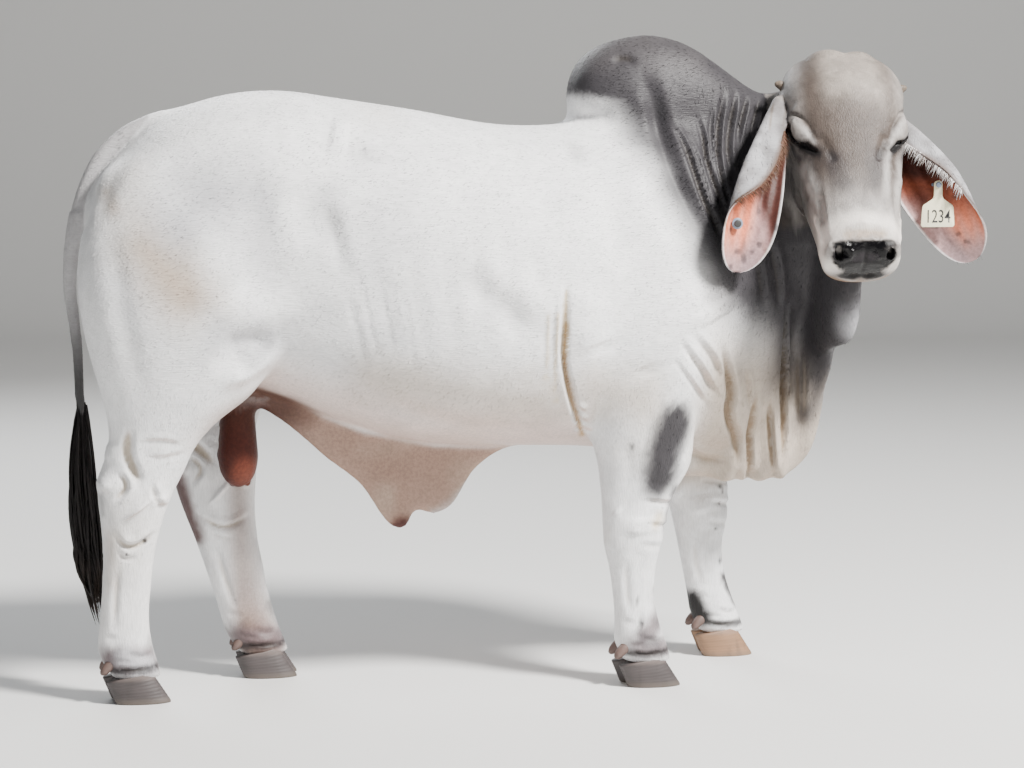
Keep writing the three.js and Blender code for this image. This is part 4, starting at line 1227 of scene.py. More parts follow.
@dataclass
class MarkingsAndShading:
    """The colour of the hide, with painted shade and highlights among its markings, and how bare it is, at
    any place on it.
    """

    zones: list[Zone]

    def zone_mask(self, zone: Zone, points: ARRAY, head: ARRAY, normals: ARRAY) -> ARRAY:
        """How much of a zone's colour lies at each point."""
        seen = {Space.FLANK: points[:, [0, 2]], Space.BODY: points}.get(zone.space)
        if seen is None:
            seen = np.abs(head) * [1, 0, 0] + head * [0, 1, 1]
        line = rounded(np.asarray(zone.line, float))
        mask = np.zeros(len(points))
        reach = zone.width + 2 * zone.soft
        near = np.all((seen > line.min(0) - reach) & (seen < line.max(0) + reach), axis=1)
        near &= (points[:, 1] > zone.band[0]) & (points[:, 1] < zone.band[1])
        index = np.flatnonzero(near)
        if not len(index):
            return mask
        distance = line_distance(seen[index], line)[0]
        distance += zone.ragged * zone.soft * noise(points[index], max(zone.soft, 6) * 0.9, 3.0)
        level = 1 - ease(distance, zone.width - zone.soft, zone.width + zone.soft)
        if zone.facing and zone.space is Space.HEAD:
            level *= ease(zone.facing * head[index, 0], -6, 12)
        elif zone.facing:
            level *= np.clip(1.6 * zone.facing * normals[index, 1] + 0.2, 0, 1)
        mask[index] = zone.amount * level
        return mask

    def paint(self, points: ARRAY, normals: ARRAY) -> tuple[ARRAY, ARRAY]:
        """The hide's colour, with its painted shade and highlights, and its bareness.

        Args:
            points: n x 3 places in the body's frame.
            normals: n x 3 directions out of the hide.

        Returns:
            n x 3 linear colours and n bareness values: from 0 to 1, and up to 2 on the wet nose.
        """
        x, y, z = points.T
        head = to_head(points)
        broad = noise(points, 260, 1.0)
        fine = noise(points, 60, 2.0)
        colour = plain(PALE, points)
        colour = over(colour, COOL, 0.34 * ease(broad + 0.4 * fine, -0.1, 0.9))
        colour = over(colour, CREAM, 0.2 * ease(noise(points, 210, 5.0), 0.1, 0.9))
        bare = np.zeros(len(points))

        # underside: thin cream-pink skin along the belly, between the legs and on the brisket
        under = ease(-normals[:, 2], 0.35, 0.95) * ease(z, 380, 520) * (1 - ease(z, 760, 980))
        colour = over(colour, BARE_PINK, 0.55 * under)
        bare = np.maximum(bare, 0.6 * under)
        # the chest before and between the forelegs is painted a darker tan: its own cream-tan, darkened as
        # a painted shadow of the head
        brisket = ease(x, 520, 640) * (1 - ease(z, 760, 960)) * ease(z, 440, 500)
        colour = over(colour, BRISKET_TAN_SHADOWED, 0.8 * brisket)

        # the grey of hump, neck and dewlap, in front of a line that runs down from the hump
        drop = 1 - 0.17 * ease(x, 850, 920)
        ahead = ease(x - read(z, GREY_EDGE) + 18 * fine, -105, 60) * ease(z, 780 * drop, 1000 * drop)
        colour = over(colour, CHARCOAL, 0.97 * ahead)
        crown = ease(z + 40 * fine + 20 * broad, 1500, 1650) * (x > 280) * (x < 800)
        colour = over(colour, ASH, 0.5 * crown)
        lobe = ease(-y, 240, 280) * (1 - ease(z, 900, 990)) * ease(x, 880, 920)
        colour = over(colour, COOL, 0.7 * lobe)

        # sheath and scrotum
        # The scrotum is laid in a dark brick, its tone in shade, with its lit tone on the lower front
        # bulge: painted shade and painted light
        sac = (np.hypot(x + 556, y) < 78) & (z < 735) & (z > 490) & (y < 52)
        colour = over(colour, BRICK, sac * (1 - ease(z, 700, 735)))
        lit_bulge = sac * (1 - ease(np.hypot(x + 535, z - 545), 20, 60))
        colour = over(colour, (0.30, 0.10, 0.06), 0.6 * lit_bulge)
        bare = np.maximum(bare, sac)
        fold = ease(x, -600, -540) * (1 - ease(x, 170, 260)) * (1 - ease(z - read(x, BELLY_LINE), -20, 8))
        fold *= (1 - ease(np.abs(y), 60, 120)) * ~sac
        tan = over(plain(SHEATH_TAN, points), GROIN, 0.6 * (1 - ease(x, -480, -330)))
        tan = over(tan, CREAM, 0.35 * ease(fine, 0.0, 0.9))
        colour = over(colour, tan, 0.88 * fold)
        bare = np.maximum(bare, 0.75 * fold)

        # tail: pale dock, darkening to a black end
        tail = np.zeros(len(points))
        behind = x < -770
        tail[behind] = 1 - ease(line_distance(points[behind], DOCK_LINE)[0], 30, 36)
        grey = 0.56 - 0.45 * (1 - ease(z, 760, 1080))
        colour = over(colour, grey[:, None] * [1.0, 0.98, 0.99], tail)
        colour = over(colour, NEAR_BLACK, tail * (1 - ease(z, 640, 720)))

        # head
        on = ease(head[:, 2] + 0.35 * head[:, 1], -95, -50)
        on *= ease(head[:, 1] - read(head[:, 2], JAW_EDGE), -12, 6) * (head[:, 2] < 640)
        on *= np.abs(head[:, 0]) < 175
        down = ease(head[:, 2] + 14 * fine, 330, 500)
        face = over(plain(FACE_GREY, points), FACE_PALE, 0.8 * down)
        # The bull's right half of the face, from the eye down, is darkened with charcoal: painted shade on
        # the side away from the light
        face = over(face, CHARCOAL, 0.55 * ease(-head[:, 0], 70, 120) * (1 - down) * (head[:, 2] > 240))
        cheek = ease(np.abs(head[:, 0]), 96, 140) * (1 - ease(-head[:, 1], 150, 240))
        face = over(face, FACE_PALE, 0.55 * cheek)
        face = over(face, FACE_GREY, 0.25 * ease(broad, 0, 1))
        # The middle and top of the forehead, and its left half more, are painted paler: partly its own
        # grey-beige, partly painted light falling from above and from the left
        lit = (1 - ease(np.abs(head[:, 0] - 12), 45, 105)) * (1 - ease(head[:, 2], 120, 215))
        face = over(face, FOREHEAD, 0.95 * lit)
        face = over(face, FOREHEAD, 0.3 * ease(head[:, 0], 40, 90) * (1 - ease(head[:, 2], 180, 250)))
        face *= 1 + 0.16 * noise(points, 8, 11.0)[:, None] + 0.10 * noise(points, 30, 12.0)[:, None]
        colour = over(colour, face, on)

        for zone in self.zones:
            colour = over(colour, zone.colour, self.zone_mask(zone, points, head, normals))
        colour *= 1 + 0.05 * noise(points, 22, 7.0)[:, None] + 0.04 * broad[:, None]
        pad = np.hypot(np.maximum(np.abs(head[:, 0]) - 34, 0), np.maximum(np.abs(head[:, 1] + 78) - 26, 0))
        wet = (1 - ease(pad, 16, 26)) * ease(head[:, 2], 535, 560)
        return np.clip(colour, 0.004, 0.9), np.maximum(bare, 2 * wet)


def head_zone(
    colour: tuple, line: tuple, width: float, soft: float, amount: float, ragged: float = 0.35
) -> Zone:
    """A zone on both halves of the head."""
    return Zone(colour, line, width, soft, amount, Space.HEAD, 0, (-900.0, 500.0), ragged)


def near_zone(colour: tuple, line: tuple, width: float, soft: float, amount: float) -> Zone:
    """A zone on the near flank."""
    return Zone(colour, line, width, soft, amount, Space.FLANK, -1, (-500.0, 20.0))


FACE_ZONES = [head_zone(*row) for row in (
    # Painted shade under the eye
    (CHARCOAL, ((146, -78, 232), (140, -76, 262), (122, -66, 288)), 12, 14, 0.75),
    (CHARCOAL, ((142, -130, 240), (138, -190, 296)), 26, 22, 0.4),
    (FACE_PALE, ((149, -52, 166), (137, -18, 205), (115, -9, 242), (98, -11, 274)), 8, 6, 0.85),
    # Painted shade in the lid's crease, along the slit under the brow, at the inner corner and below it
    (EYE_SHADE, ((152, -46, 150), (127, -8, 188), (103, -3, 232), (93, -14, 284)), 3.5, 4, 0.85),
    (EYE_SHADE, ((151, -70, 190), (144, -52, 226), (132, -46, 254), (111, -34, 280), (88, -21, 304)),
     10, 6, 0.97),
    (NEAR_BLACK, ((155, -56, 178), (148, -45, 208), (136, -41, 240), (118, -35, 266), (98, -25, 292)),
     11, 4, 0.97),
    (EYE_SHADE, ((88, -12, 286), (66, -9, 300), (54, -12, 330)), 7, 9, 0.75),
    (CHARCOAL, ((56, -8, 330), (44, -12, 400)), 22, 24, 0.6),
    (FACE_PALE, ((112, -64, 322), (104, -60, 392)), 22, 14, 0.8),
    (FACE_PALE, ((98, -60, 400), (88, -50, 520)), 15, 10, 0.7),
    (MUZZLE_PALE, ((104, -86, 452), (97, -80, 530)), 9, 6, 0.95),
    (FACE_PALE, ((140, -205, 296), (112, -240, 369), (100, -206, 440)), 12, 12, 0.6),
    (MUZZLE_PALE, ((0, -18, 505), (60, -30, 510), (92, -80, 520)), 26, 22, 0.95),
    (MUZZLE_PALE, ((90, -112, 545), (80, -106, 578)), 24, 12, 0.9),
    (LIP_TAN, ((0, -168, 574), (60, -162, 560)), 30, 8, 0.9),
    (TAN, ((0, -27, 540), (44, -32, 540)), 9, 8, 0.7),
    (NOSE_BLACK, ((0, -46, 566), (52, -46, 564), (66, -54, 562)), 14, 4, 1.0, 0.5),
    (NOSE_BLACK, ((0, -60, 585), (60, -62, 582)), 20, 4, 1.0, 0.5),
    (NOSE_BLACK, ((66, -56, 562), (66, -84, 584)), 10, 4, 1.0, 0.5),
    (NOSE_BLACK, ((0, -84, 594), (44, -82, 590)), 24, 5, 1.0, 0.5),
    (NOSE_BLACK, ((0, -112, 600), (28, -110, 598)), 21, 6, 1.0, 0.3),
    # A paler grey on the middle of the nose pad: a painted highlight
    ((0.05, 0.042, 0.05), ((0, -60, 590), (22, -66, 592)), 10, 9, 0.9, 0.5),
    # The mouth's line, along its groove, painted near black: painted shade in the gap of the lips
    (NEAR_BLACK, ((0, -131, 602), (44, -131, 592), (72, -129, 562)), 12, 4, 0.97, 0.2),
)]
# A painted highlight: a pale line beside the nose's bridge, on the left half alone
BRIDGE_HIGHLIGHT = ((122, -12, 245), (84, -16, 309), (74, -23, 365), (66, -26, 434))
FACE_ZONES.append(replace(head_zone(FACE_PALE, BRIDGE_HIGHLIGHT, 9, 8, 0.85), facing=1))
BODY_ZONES = [near_zone(*row) for row in (
    (TAN, ((-790, 1120), (-735, 1060), (-700, 1010)), 64, 80, 0.85),
    (TAN, ((-880, 1250), (-868, 1215)), 14, 20, 0.5),
    (COOL, ((-720, 1190), (-665, 1240), (-560, 1262)), 58, 80, 0.95),
    (COOL, ((-600, 1180), (-520, 1100)), 50, 80, 0.6),
    # Painted shade: grey laid in the hollow under the thigh, over the stifle
    (COOL, ((-620, 900), (-500, 900)), 46, 50, 0.75),
    # Painted shade: grey in three shallow dents of the flank and shoulder
    (ASH, ((-360, 1215), (-345, 1150)), 16, 30, 0.18),
    (ASH, ((268, 1351),), 16, 22, 0.35),
    (ASH, ((-290, 1352), (-260, 1350)), 16, 22, 0.2),
    (GOLD, ((214, 930), (212, 829), (240, 738), (290, 640)), 5, 5, 0.85),
    (STAIN, ((212, 1010), (212, 860)), 4, 6, 0.7),
    (STAIN, ((190, 960), (188, 800), (204, 720)), 3, 4, 0.6),
    (STAIN, ((166, 960), (168, 770)), 3, 4, 0.45),
    (CREAM, ((-240, 800), (150, 740)), 60, 70, 0.5),
    (CREAM, ((300, 760), (420, 740)), 60, 60, 0.5),
    # Painted shadow of the head on the dewlap, over its own grey: charcoal on its upper part and front
    (CHARCOAL, ((840, 910), (860, 800)), 56, 80, 0.92),
    (CHARCOAL, ((934, 830), (920, 740), (898, 670)), 24, 50, 0.85),
    # Painted shadow of the head: a charcoal patch on the front of the right forearm
    (CHARCOAL, ((506, 680), (486, 610), (472, 535)), 46, 24, 0.97),
    (CHARCOAL, ((524, 500), (514, 440), (506, 400)), 12, 12, 0.8),
    (PLUM, ((-890, 108), (-780, 104)), 34, 20, 0.9),
    (PLUM, ((474, 160), (410, 100), (510, 96)), 26, 20, 0.8),
    (STAIN, ((300, 470), (330, 380)), 14, 16, 0.4),
    (STAIN, ((478, 430), (470, 418)), 12, 14, 0.5),
    (CHARCOAL, ((484, 240), (490, 160)), 12, 18, 0.55),
    (CHARCOAL, ((440, 128), (470, 112)), 16, 14, 0.5),
    (EYE_SHADE, ((-780, 150), (-760, 100)), 14, 16, 0.55),
    (TAN, ((-880, 420), (-880, 300)), 14, 20, 0.35),
    (COOL, ((-850, 120), (-800, 95)), 26, 18, 0.8),
)]
FAR_BAND = (40.0, 400.0)
NEAR_BAND = (-400.0, -40.0)


def leg_zone(
    colour: tuple, line: tuple, width: float, soft: float, amount: float, band: tuple = FAR_BAND
) -> Zone:
    """A zone on a leg, all the way round it."""
    return Zone(colour, line, width, soft, amount, Space.FLANK, 0, band)


LEG_ZONES = [leg_zone(*row) for row in (
    (NEAR_BLACK, ((756, 520), (764, 470)), 8, 8, 0.75),
    (NEAR_BLACK, ((752, 210), (772, 170), (790, 140)), 12, 9, 0.85),
    (NEAR_BLACK, ((660, 150), (680, 108)), 26, 12, 0.95),
    (NEAR_BLACK, ((700, 92), (760, 84), (826, 92)), 9, 6, 0.8),
    (EYE_SHADE, ((-468, 190), (-450, 150)), 12, 14, 0.5),
    (TIP_BROWN, ((-716, 540), (-700, 470), (-682, 410), (-662, 370)), 28, 16, 0.85),
    (PLUM, ((-560, 110), (-430, 104)), 28, 20, 0.8),
    (NEAR_BLACK, ((390, 90), (450, 82), (520, 92)), 8, 6, 0.8, NEAR_BAND),
    (NEAR_BLACK, ((-890, 84), (-820, 82), (-756, 92)), 8, 6, 0.75, (-400.0, -20.0)),
    (NEAR_BLACK, ((-560, 84), (-480, 82), (-412, 92)), 8, 6, 0.7, (20.0, 400.0)),
)] + [
    Zone(TIP_BROWN, ((-150, 0, 388), (-142, 0, 404)), 24, 12, 0.95, Space.BODY),
    Zone(GROIN, ((-600, 0, 735), (-440, 0, 740)), 88, 46, 0.8, Space.BODY),
    leg_zone(CHARCOAL, ((-905, 520), (-900, 470)), 6, 8, 0.4, NEAR_BAND),
    Zone(COOL, ((-60, 0, 420), (20, 0, 490)), 16, 12, 0.5, Space.BODY),
]
FLECKS = [
    Zone(NEAR_BLACK, ((x, z),), size, 2.5, 0.85, Space.FLANK, -1, (-400.0, 0.0), 0.9)
    for x, z, size in (
        (400, 620, 3.5), (425, 215, 4.5), (438, 165, 6.0), (432, 158, 4.0), (-800, 405, 7.0),
        (-812, 372, 4.0), (-845, 375, 3.0), (-880, 470, 3.0), (-868, 350, 2.5),
    )
] + [
    Zone(NEAR_BLACK, ((x, z),), size, 2.5, 0.85, Space.FLANK, 0, FAR_BAND, 0.9)
    for x, z, size in (
        (735, 455, 6.0), (742, 442, 4.0), (730, 410, 3.0), (722, 345, 2.5), (740, 260, 7.0),
        (-480, 345, 4.0),
    )
]
MARKINGS_AND_SHADING = MarkingsAndShading(FACE_ZONES + BODY_ZONES + LEG_ZONES + FLECKS)


def ear_paint(colour: ARRAY, bare: ARRAY, points: ARRAY) -> tuple[ARRAY, ARRAY]:
    """The ears' colours over the hide's: bare pink inside, with painted shade deep in the cavity, and short
    grey hair outside.

    Args:
        colour: n x 3 colours so far.
        bare: n bareness values so far.
        points: n x 3 places in the body's frame.

    Returns:
        The new colours and bareness.
    """
    fine = noise(points, 26, 11.0)
    for ear in EARS:
        along, across, rim, inside = ear.place(points)
        far = ear.side is Side.FAR
        on = along > 0
        grey = over(plain(COOL, points), ASH, 0.32 + 0.5 * ease(fine, -0.6, 0.8))
        grey = over(grey, FACE_GREY, 0.5 * (1 - ease(along, 0.0, 0.35)))
        edging = ease(rim, 0.86, 0.99) * ease(across, 1.0, 1.1)
        grey = over(grey, EAR_BROWN, (0.5 if far else 0.85) * edging * ease(along, 0.12, 0.3))
        colour = over(colour, grey, on * (1 - inside))
        pink = over(plain(EAR_PINK, points), EAR_LILAC, 0.9 * ease(along, 0.75, 0.98))
        pink = over(pink, EAR_LILAC, 0.85 * ease(-across, -0.1, 0.5) * ease(along, 0.35, 0.5))
        ridges = (0.5 + 0.5 * np.cos(np.pi * across * 4.5)) * ease(across, -0.3, 0.1)
        pink = over(pink, EAR_ORANGE, 0.7 * ridges * (1 - ease(along, 0.7, 0.95)))
        shade = along - (0.16 if far else -0.3) * across
        pink = over(pink, EAR_RUST, far * (1 - ease(shade, 0.5, 0.78)))
        # Deep in the cavity, towards the root, the pink goes near black: painted shade
        pink = over(pink, EAR_CAVITY_SHADE, 0.95 * (1 - ease(shade, 0.40 if far else 0.44, 0.50 if far else 0.60)))
        pink = over(pink, PALE, 0.75 * ease(rim, 0.9, 0.99) * ease(along, 0.3, 0.5))
        spots = ease(noise(points, 19, 13.0), 0.45, 0.75) * ease(along, 0.55, 0.65)
        pink = over(pink, CHARCOAL, 0.6 * spots)
        colour = over(colour, pink, on * inside)
        hairy = on * inside * ease(across, 0.8, 1.0) * (1 - ease(along, 0.45, 0.64))
        colour = over(colour, EAR_BROWN, 0.95 * hairy)
        bare = np.maximum(bare * (1 - on), 0.9 * on * inside * (1 - hairy))
    return colour, bare


@dataclass
class Hide:
    """The one skin: body, legs, tail and head fused, sculpted, and cut for the eyes."""

    core_voxel: float = 7.0
    fine_voxel: float = 4.2
    head_voxel: float = 2.3
    depth: float = 3.0
    head_depth: float = 1.2
    face_count: int = 150_000
    slit_length: float = 25.0
    slit_open: float = 7.5

    def softness(self, corners: ARRAY) -> ARRAY:
        """How far each corner of the body gives way to its neighbours: least on legs and folds."""
        x, y, z = corners.T
        weight = np.ones(len(corners))
        weight = np.minimum(weight, 0.08 + 0.92 * ease(z, 660, 900))
        weight[(z > 1400) & (x > 270)] = 0.6
        folds = (x > 600) & (z < 800) & (np.abs(y) < 120)
        weight[folds] = 0.25
        weight[(x > -480) & (x < 240) & (z < 640)] = 0.15
        from_dock = line_distance(corners, DOCK_LINE)[0]
        return np.minimum(weight, np.where(x < -735, 0.06 + 0.94 * ease(from_dock, 34, 80), 1.0))

    def body(self) -> Form:
        """Every form but the head, fused and smoothed where they meet."""
        parts = [Trunk().form(), Hump().form(), Neck().form(), DEWLAP.form(), SHEATH.form()]
        parts += [path_form(SCROTUM_ROWS, 60, 48), path_form(DOCK_ROWS, 170, 28)]
        parts += [ellipsoid([-822, side.value * 120, 1258], [90, 78, 76]) for side in Side]
        parts += [leg.form() for leg in LEGS]
        fused = remeshed(parts, self.core_voxel)
        return remeshed([fused.relaxed(self.softness(fused.corners), 40)], self.fine_voxel)

    def whole(self) -> Form:
        """Body and head as one surface, with the fold behind the cheek softened, then sculpted."""
        head = remeshed(Skull().form(), self.head_voxel)
        head = head.relaxed(np.full(len(head.corners), 0.5), 8)
        hide = boolean(self.body(), head, "UNION")
        seen = to_head(hide.corners)
        junction = ease(seen[:, 2], -90, -40) * (1 - ease(seen[:, 2], 60, 120))
        junction *= np.maximum(1 - ease(seen[:, 1], -90, -50), 1 - ease(seen[:, 2], 0, 25))
        hide = hide.relaxed(0.8 * junction, 24)
        return sculpted(sculpted(hide, all_strokes()), NOSTRILS)

    def inset(self, hide: Form) -> Form:
        """The surface moved in by the coat's depth, less on the head and the lower legs."""
        seen = to_head(hide.corners)
        on_face = ease(seen[:, 2], 0, 80) * (seen[:, 1] > -280) * (np.abs(seen[:, 0]) < 200)
        depth = self.depth + (self.head_depth - self.depth) * on_face
        x, _, z = hide.corners.T
        depth *= 0.5 + 0.5 * ease(z, 500, 800)
        depth *= 1 - ease(-x, 926, 942) * (z < 1200)
        return Form(hide.corners - hide.normals() * depth[:, None], hide.faces)

    def eye_frame(self, side: Side) -> tuple[ARRAY, ARRAY]:
        """An eye's centre and its axes as rows: along the slit, across it and outwards, in the head."""
        sign = side.value
        out = unit(np.array([sign * 0.8, 0.42, 0.42]))
        long = np.array([-sign * 0.6, 0.1, 0.8])
        long = unit(long - long @ out * out)
        return EYE_AT * [sign, 1, 1], np.array([long, np.cross(out, long) * sign, out])

    def slit(self, side: Side) -> Form:
        """The opening between the lids: two arcs carried from the eye's middle out past the lids."""
        centre, axes = self.eye_frame(side)
        u = np.linspace(-1, 1, 22)
        upper = self.slit_open * (1 - u**2) ** 0.8
        back = u[1:-1][::-1]
        lower = -0.72 * self.slit_open * (1 - back**2) ** 0.8
        arcs = [np.stack([u * self.slit_length, upper], 1), np.stack([back * self.slit_length, lower], 1)]
        outline = np.concatenate(arcs)
        steps = ((6, 0.9), (18, 0.97), (60, 1.25))
        sections = [outline @ axes[:2] * scale + centre + axes[2] * reach for reach, scale in steps]
        return skinned(np.array([from_head(section) for section in sections]))

    def lid(self, side: Side, upper: bool) -> Form:
        """The rolled margin of a lid: a thin tube along its arc, just outside the eyeball."""
        centre, axes = self.eye_frame(side)
        u = np.linspace(-1, 1, 40)
        lift = (1 if upper else -0.72) * (self.slit_open + 0.4) * (1 - u**2) ** 0.8
        flat = np.stack([u * (self.slit_length - 1), lift], 1)
        out = np.sqrt(np.maximum((EYE_RADIUS + 1.6) ** 2 - (flat**2).sum(1), 60))
        path = from_head(centre + flat @ axes[:2] + out[:, None] * axes[2])
        gauge = 1.5 + 1.5 * np.sqrt(np.maximum(1 - u**2, 0))
        ahead = unit(np.gradient(path, axis=0))
        out_way = np.tile(axes[2] @ HEAD_AXES, (len(u), 1))
        side_way = unit(np.cross(out_way, ahead))
        up_way = np.cross(ahead, side_way)
        return skinned(rings(path, side_way, up_way, (gauge, gauge * 1.2, gauge * 1.2), 14, 2))

    def form(self) -> Form:
        """The finished skin: thinned to its face count, then the ears, eye openings and lids."""
        hide = self.inset(self.whole())
        hide = modified(hide, "DECIMATE", ratio=self.face_count / len(hide.faces))
        for ear in EARS:
            hide = boolean(hide, ear.form(), "UNION")
        near_root = np.zeros(len(hide.corners))
        for ear in EARS:
            distance = np.linalg.norm(hide.corners - np.asarray(ear.root), axis=1)
            near_root = np.maximum(near_root, 0.6 * (1 - ease(distance, 50, 95)))
        hide = hide.relaxed(near_root, 8)
        for side in Side:
            hole = ellipsoid([side.value * 62, -60, 578], [12, 17, 27])
            hide = boolean(hide, Form(from_head(hole.corners), hole.faces), "DIFFERENCE")
            centre, _ = self.eye_frame(side)
            socket = ellipsoid([0, 0, 0], [EYE_RADIUS + 0.5] * 3, 48, 32)
            hide = boolean(hide, Form(socket.corners + from_head(centre), socket.faces), "DIFFERENCE")
            hide = boolean(hide, self.slit(side), "DIFFERENCE")
            for upper in (True, False):
                hide = boolean(hide, self.lid(side, upper), "UNION")
        return hide


# Finishes


@dataclass
class Shader:
    """A node tree being wired: makes nodes, and links or sets their inputs."""

    tree: NodeTree

    def node(self, kind: str, inputs: dict | None = None, **settings) -> Node:
        """A node of a kind.

        Args:
            kind: the node's type name without its ShaderNode prefix.
            inputs: a socket to link or a value to set, by input name or number.
            settings: the node's own settings.

        Returns:
            The node.
        """
        node = self.tree.nodes.new(kind if kind.startswith("Node") else f"ShaderNode{kind}")
        for key, value in settings.items():
            setattr(node, key, value)
        for key, value in (inputs or {}).items():
            if isinstance(value, NodeSocket):
                self.link(value, node, key)
            else:
                node.inputs[key].default_value = value
        return node

    def link(self, source: NodeSocket, node: Node, name: str | int) -> None:
        """A socket joined to a node's input."""
        self.tree.links.new(source, node.inputs[name])

    def math(self, operation: str, *values: object) -> NodeSocket:
        """The result of a Math node on up to three values or sockets."""
        return self.node("Math", dict(enumerate(values)), operation=operation).outputs[0]

    def ramp(
        self, value: object, low: float, high: float, start: float = 0.0, end: float = 1.0
    ) -> NodeSocket:
        """A value carried smoothly from one range into another."""
        inputs = {"Value": value, "From Min": low, "From Max": high, "To Min": start, "To Max": end}
        return self.node("MapRange", inputs, interpolation_type="SMOOTHSTEP").outputs[0]

    def mixed(self, share: object, first: object, second: object, blend: str = "MIX") -> NodeSocket:
        """Two colours mixed by a share."""
        node = self.node("Mix", {0: share, 6: first, 7: second}, data_type="RGBA", blend_type=blend)
        return node.outputs[2]

    def shaded(self, colour: object, level: NodeSocket) -> NodeSocket:
        """A colour multiplied by a level."""
        grey = self.node("CombineColor", {0: level, 1: level, 2: level}).outputs[0]
        return self.mixed(1.0, colour, grey, "MULTIPLY")

    def spot(self) -> NodeSocket:
        """The place on the object, in metres."""
        return self.node("TexCoord").outputs["Object"]

    def noise(self, spot: object, scale: float, detail: float = 2.0, roughness: float = 0.5) -> NodeSocket:
        """A noise from 0 to 1 at a scale."""
        inputs = {"Vector": spot, "Scale": scale, "Detail": detail, "Roughness": roughness}
        return self.node("TexNoise", inputs).outputs[0]

    def stretched(self, spot: object, scale: tuple) -> NodeSocket:
        """A place multiplied axis by axis."""
        return self.node("VectorMath", {0: spot, 1: scale}, operation="MULTIPLY").outputs[0]


def new_material(name: str, colour: tuple) -> tuple[Material, Shader, Node]:
    """An empty material with its Principled shader wired to the output."""
    material = bpy.data.materials.new(name)
    material.use_nodes = True
    material.diffuse_color = (*colour, 1)
    material.node_tree.nodes.clear()
    shader = Shader(material.node_tree)
    principled = shader.node("BsdfPrincipled", {"Base Color": (*colour, 1)})
    shader.node("OutputMaterial", {"Surface": principled.outputs[0]})
    return material, shader, principled


def new_group(name: str, inputs: dict, outputs: dict) -> tuple[NodeTree, Shader, Node, Node]:
    """An empty shader node group with named sockets.

    Args:
        name: the group's name.
        inputs: each input's name with its default: a number, or a tuple for a colour.
        outputs: each output's name with its socket type.

    Returns:
        The group, its wirer, and its input and output nodes.
    """
    group = bpy.data.node_groups.new(name, "ShaderNodeTree")
    for label, default in inputs.items():
        kind = "NodeSocketColor" if isinstance(default, tuple) else "NodeSocketFloat"
        socket = group.interface.new_socket(label, in_out="INPUT", socket_type=kind)
        socket.default_value = default
    for label, kind in outputs.items():
        group.interface.new_socket(label, in_out="OUTPUT", socket_type=kind)
    shader = Shader(group)
    return group, shader, shader.node("NodeGroupInput"), shader.node("NodeGroupOutput")


def short_hair_group() -> NodeTree:
    """Short lying hair: a streaked colour and a fine normal, along the body and down the legs.

    Streaks are a noise stretched along X on the body and along Z on the legs and the head; where
    the skin is bare they give way to fine wrinkles and pores.
    """
    group, shader, given, put = new_group(
        "Short hair",
        {"Colour": (0.5, 0.5, 0.5, 1.0), "Bare": 0.0, "Depth": 1.0},
        {"Colour": "NodeSocketColor", "Roughness": "NodeSocketFloat", "Normal": "NodeSocketVector"},
    )
    spot = shader.spot()
    parts = shader.node("SeparateXYZ", {0: spot}).outputs
    legs = shader.math("MAXIMUM", shader.ramp(parts[2], 0.86, 0.66), shader.ramp(parts[0], 0.60, 0.72))
    along = shader.noise(shader.stretched(spot, (34, 300, 300)), 1.0, 3.0, 0.6)
    down = shader.noise(shader.stretched(spot, (300, 300, 34)), 1.0, 3.0, 0.6)
    streak = shader.node("Mix", {0: legs, 2: along, 3: down}).outputs[0]
    clump = shader.noise(spot, 55.0, 3.0)
    grain = shader.noise(spot, 900.0, 2.0)
    level = shader.math("MULTIPLY_ADD", streak, 0.75, shader.math("MULTIPLY", clump, 0.25))
    tone = shader.ramp(level, 0.30, 0.70, 0.88, 1.08)
    hair = shader.shaded(given.outputs["Colour"], tone)
    pore = shader.ramp(shader.noise(spot, 130.0, 4.0, 0.65), 0.35, 0.65, 0.82, 1.12)
    skin = shader.shaded(given.outputs["Colour"], pore)
    bare = given.outputs["Bare"]
    shader.link(shader.mixed(bare, hair, skin), put, "Colour")
    dry = shader.ramp(bare, 0.0, 1.0, 0.72, 0.46)
    rough = shader.math("MINIMUM", dry, shader.ramp(bare, 1.0, 1.8, 0.46, 0.2))
    shader.link(rough, put, "Roughness")
    wrinkle = shader.math("ADD", shader.noise(spot, 75.0, 4.0, 0.6), shader.math("MULTIPLY", grain, 0.2))
    furry = shader.math("MULTIPLY_ADD", streak, 1.0, shader.math("MULTIPLY", clump, 0.6))
    height = shader.node("Mix", {0: bare, 2: furry, 3: wrinkle}).outputs[0]
    height = shader.math("MULTIPLY", height, given.outputs["Depth"])
    bump = shader.node("Bump", {"Strength": 0.5, "Distance": 0.003, "Height": height})
    shader.link(bump.outputs[0], put, "Normal")
    return group


@dataclass(frozen=True)
class HairFinish:
    """Hide or coat: the painted colour under the short hair group."""

    name: str
    colour: tuple
    depth: float = 1.0
    sheen: float = 0.03

    def material(self, group: NodeTree) -> Material:
        """The material, which reads the piece's Tint and Bare attributes."""
        material, shader, principled = new_material(self.name, self.colour)
        tint = shader.node("Attribute", attribute_name="Tint").outputs["Color"]
        bare = shader.node("Attribute", attribute_name="Bare").outputs["Fac"]
        hair = shader.node("Group", node_tree=group)
        shader.link(tint, hair, "Colour")
        shader.link(bare, hair, "Bare")
        hair.inputs["Depth"].default_value = self.depth
        shader.link(hair.outputs["Colour"], principled, "Base Color")
        shader.link(hair.outputs["Roughness"], principled, "Roughness")
        shader.link(hair.outputs["Normal"], principled, "Normal")
        principled.inputs["Sheen Weight"].default_value = self.sheen
        principled.inputs["Sheen Roughness"].default_value = 0.5
        principled.inputs["Specular IOR Level"].default_value = 0.22
        return material


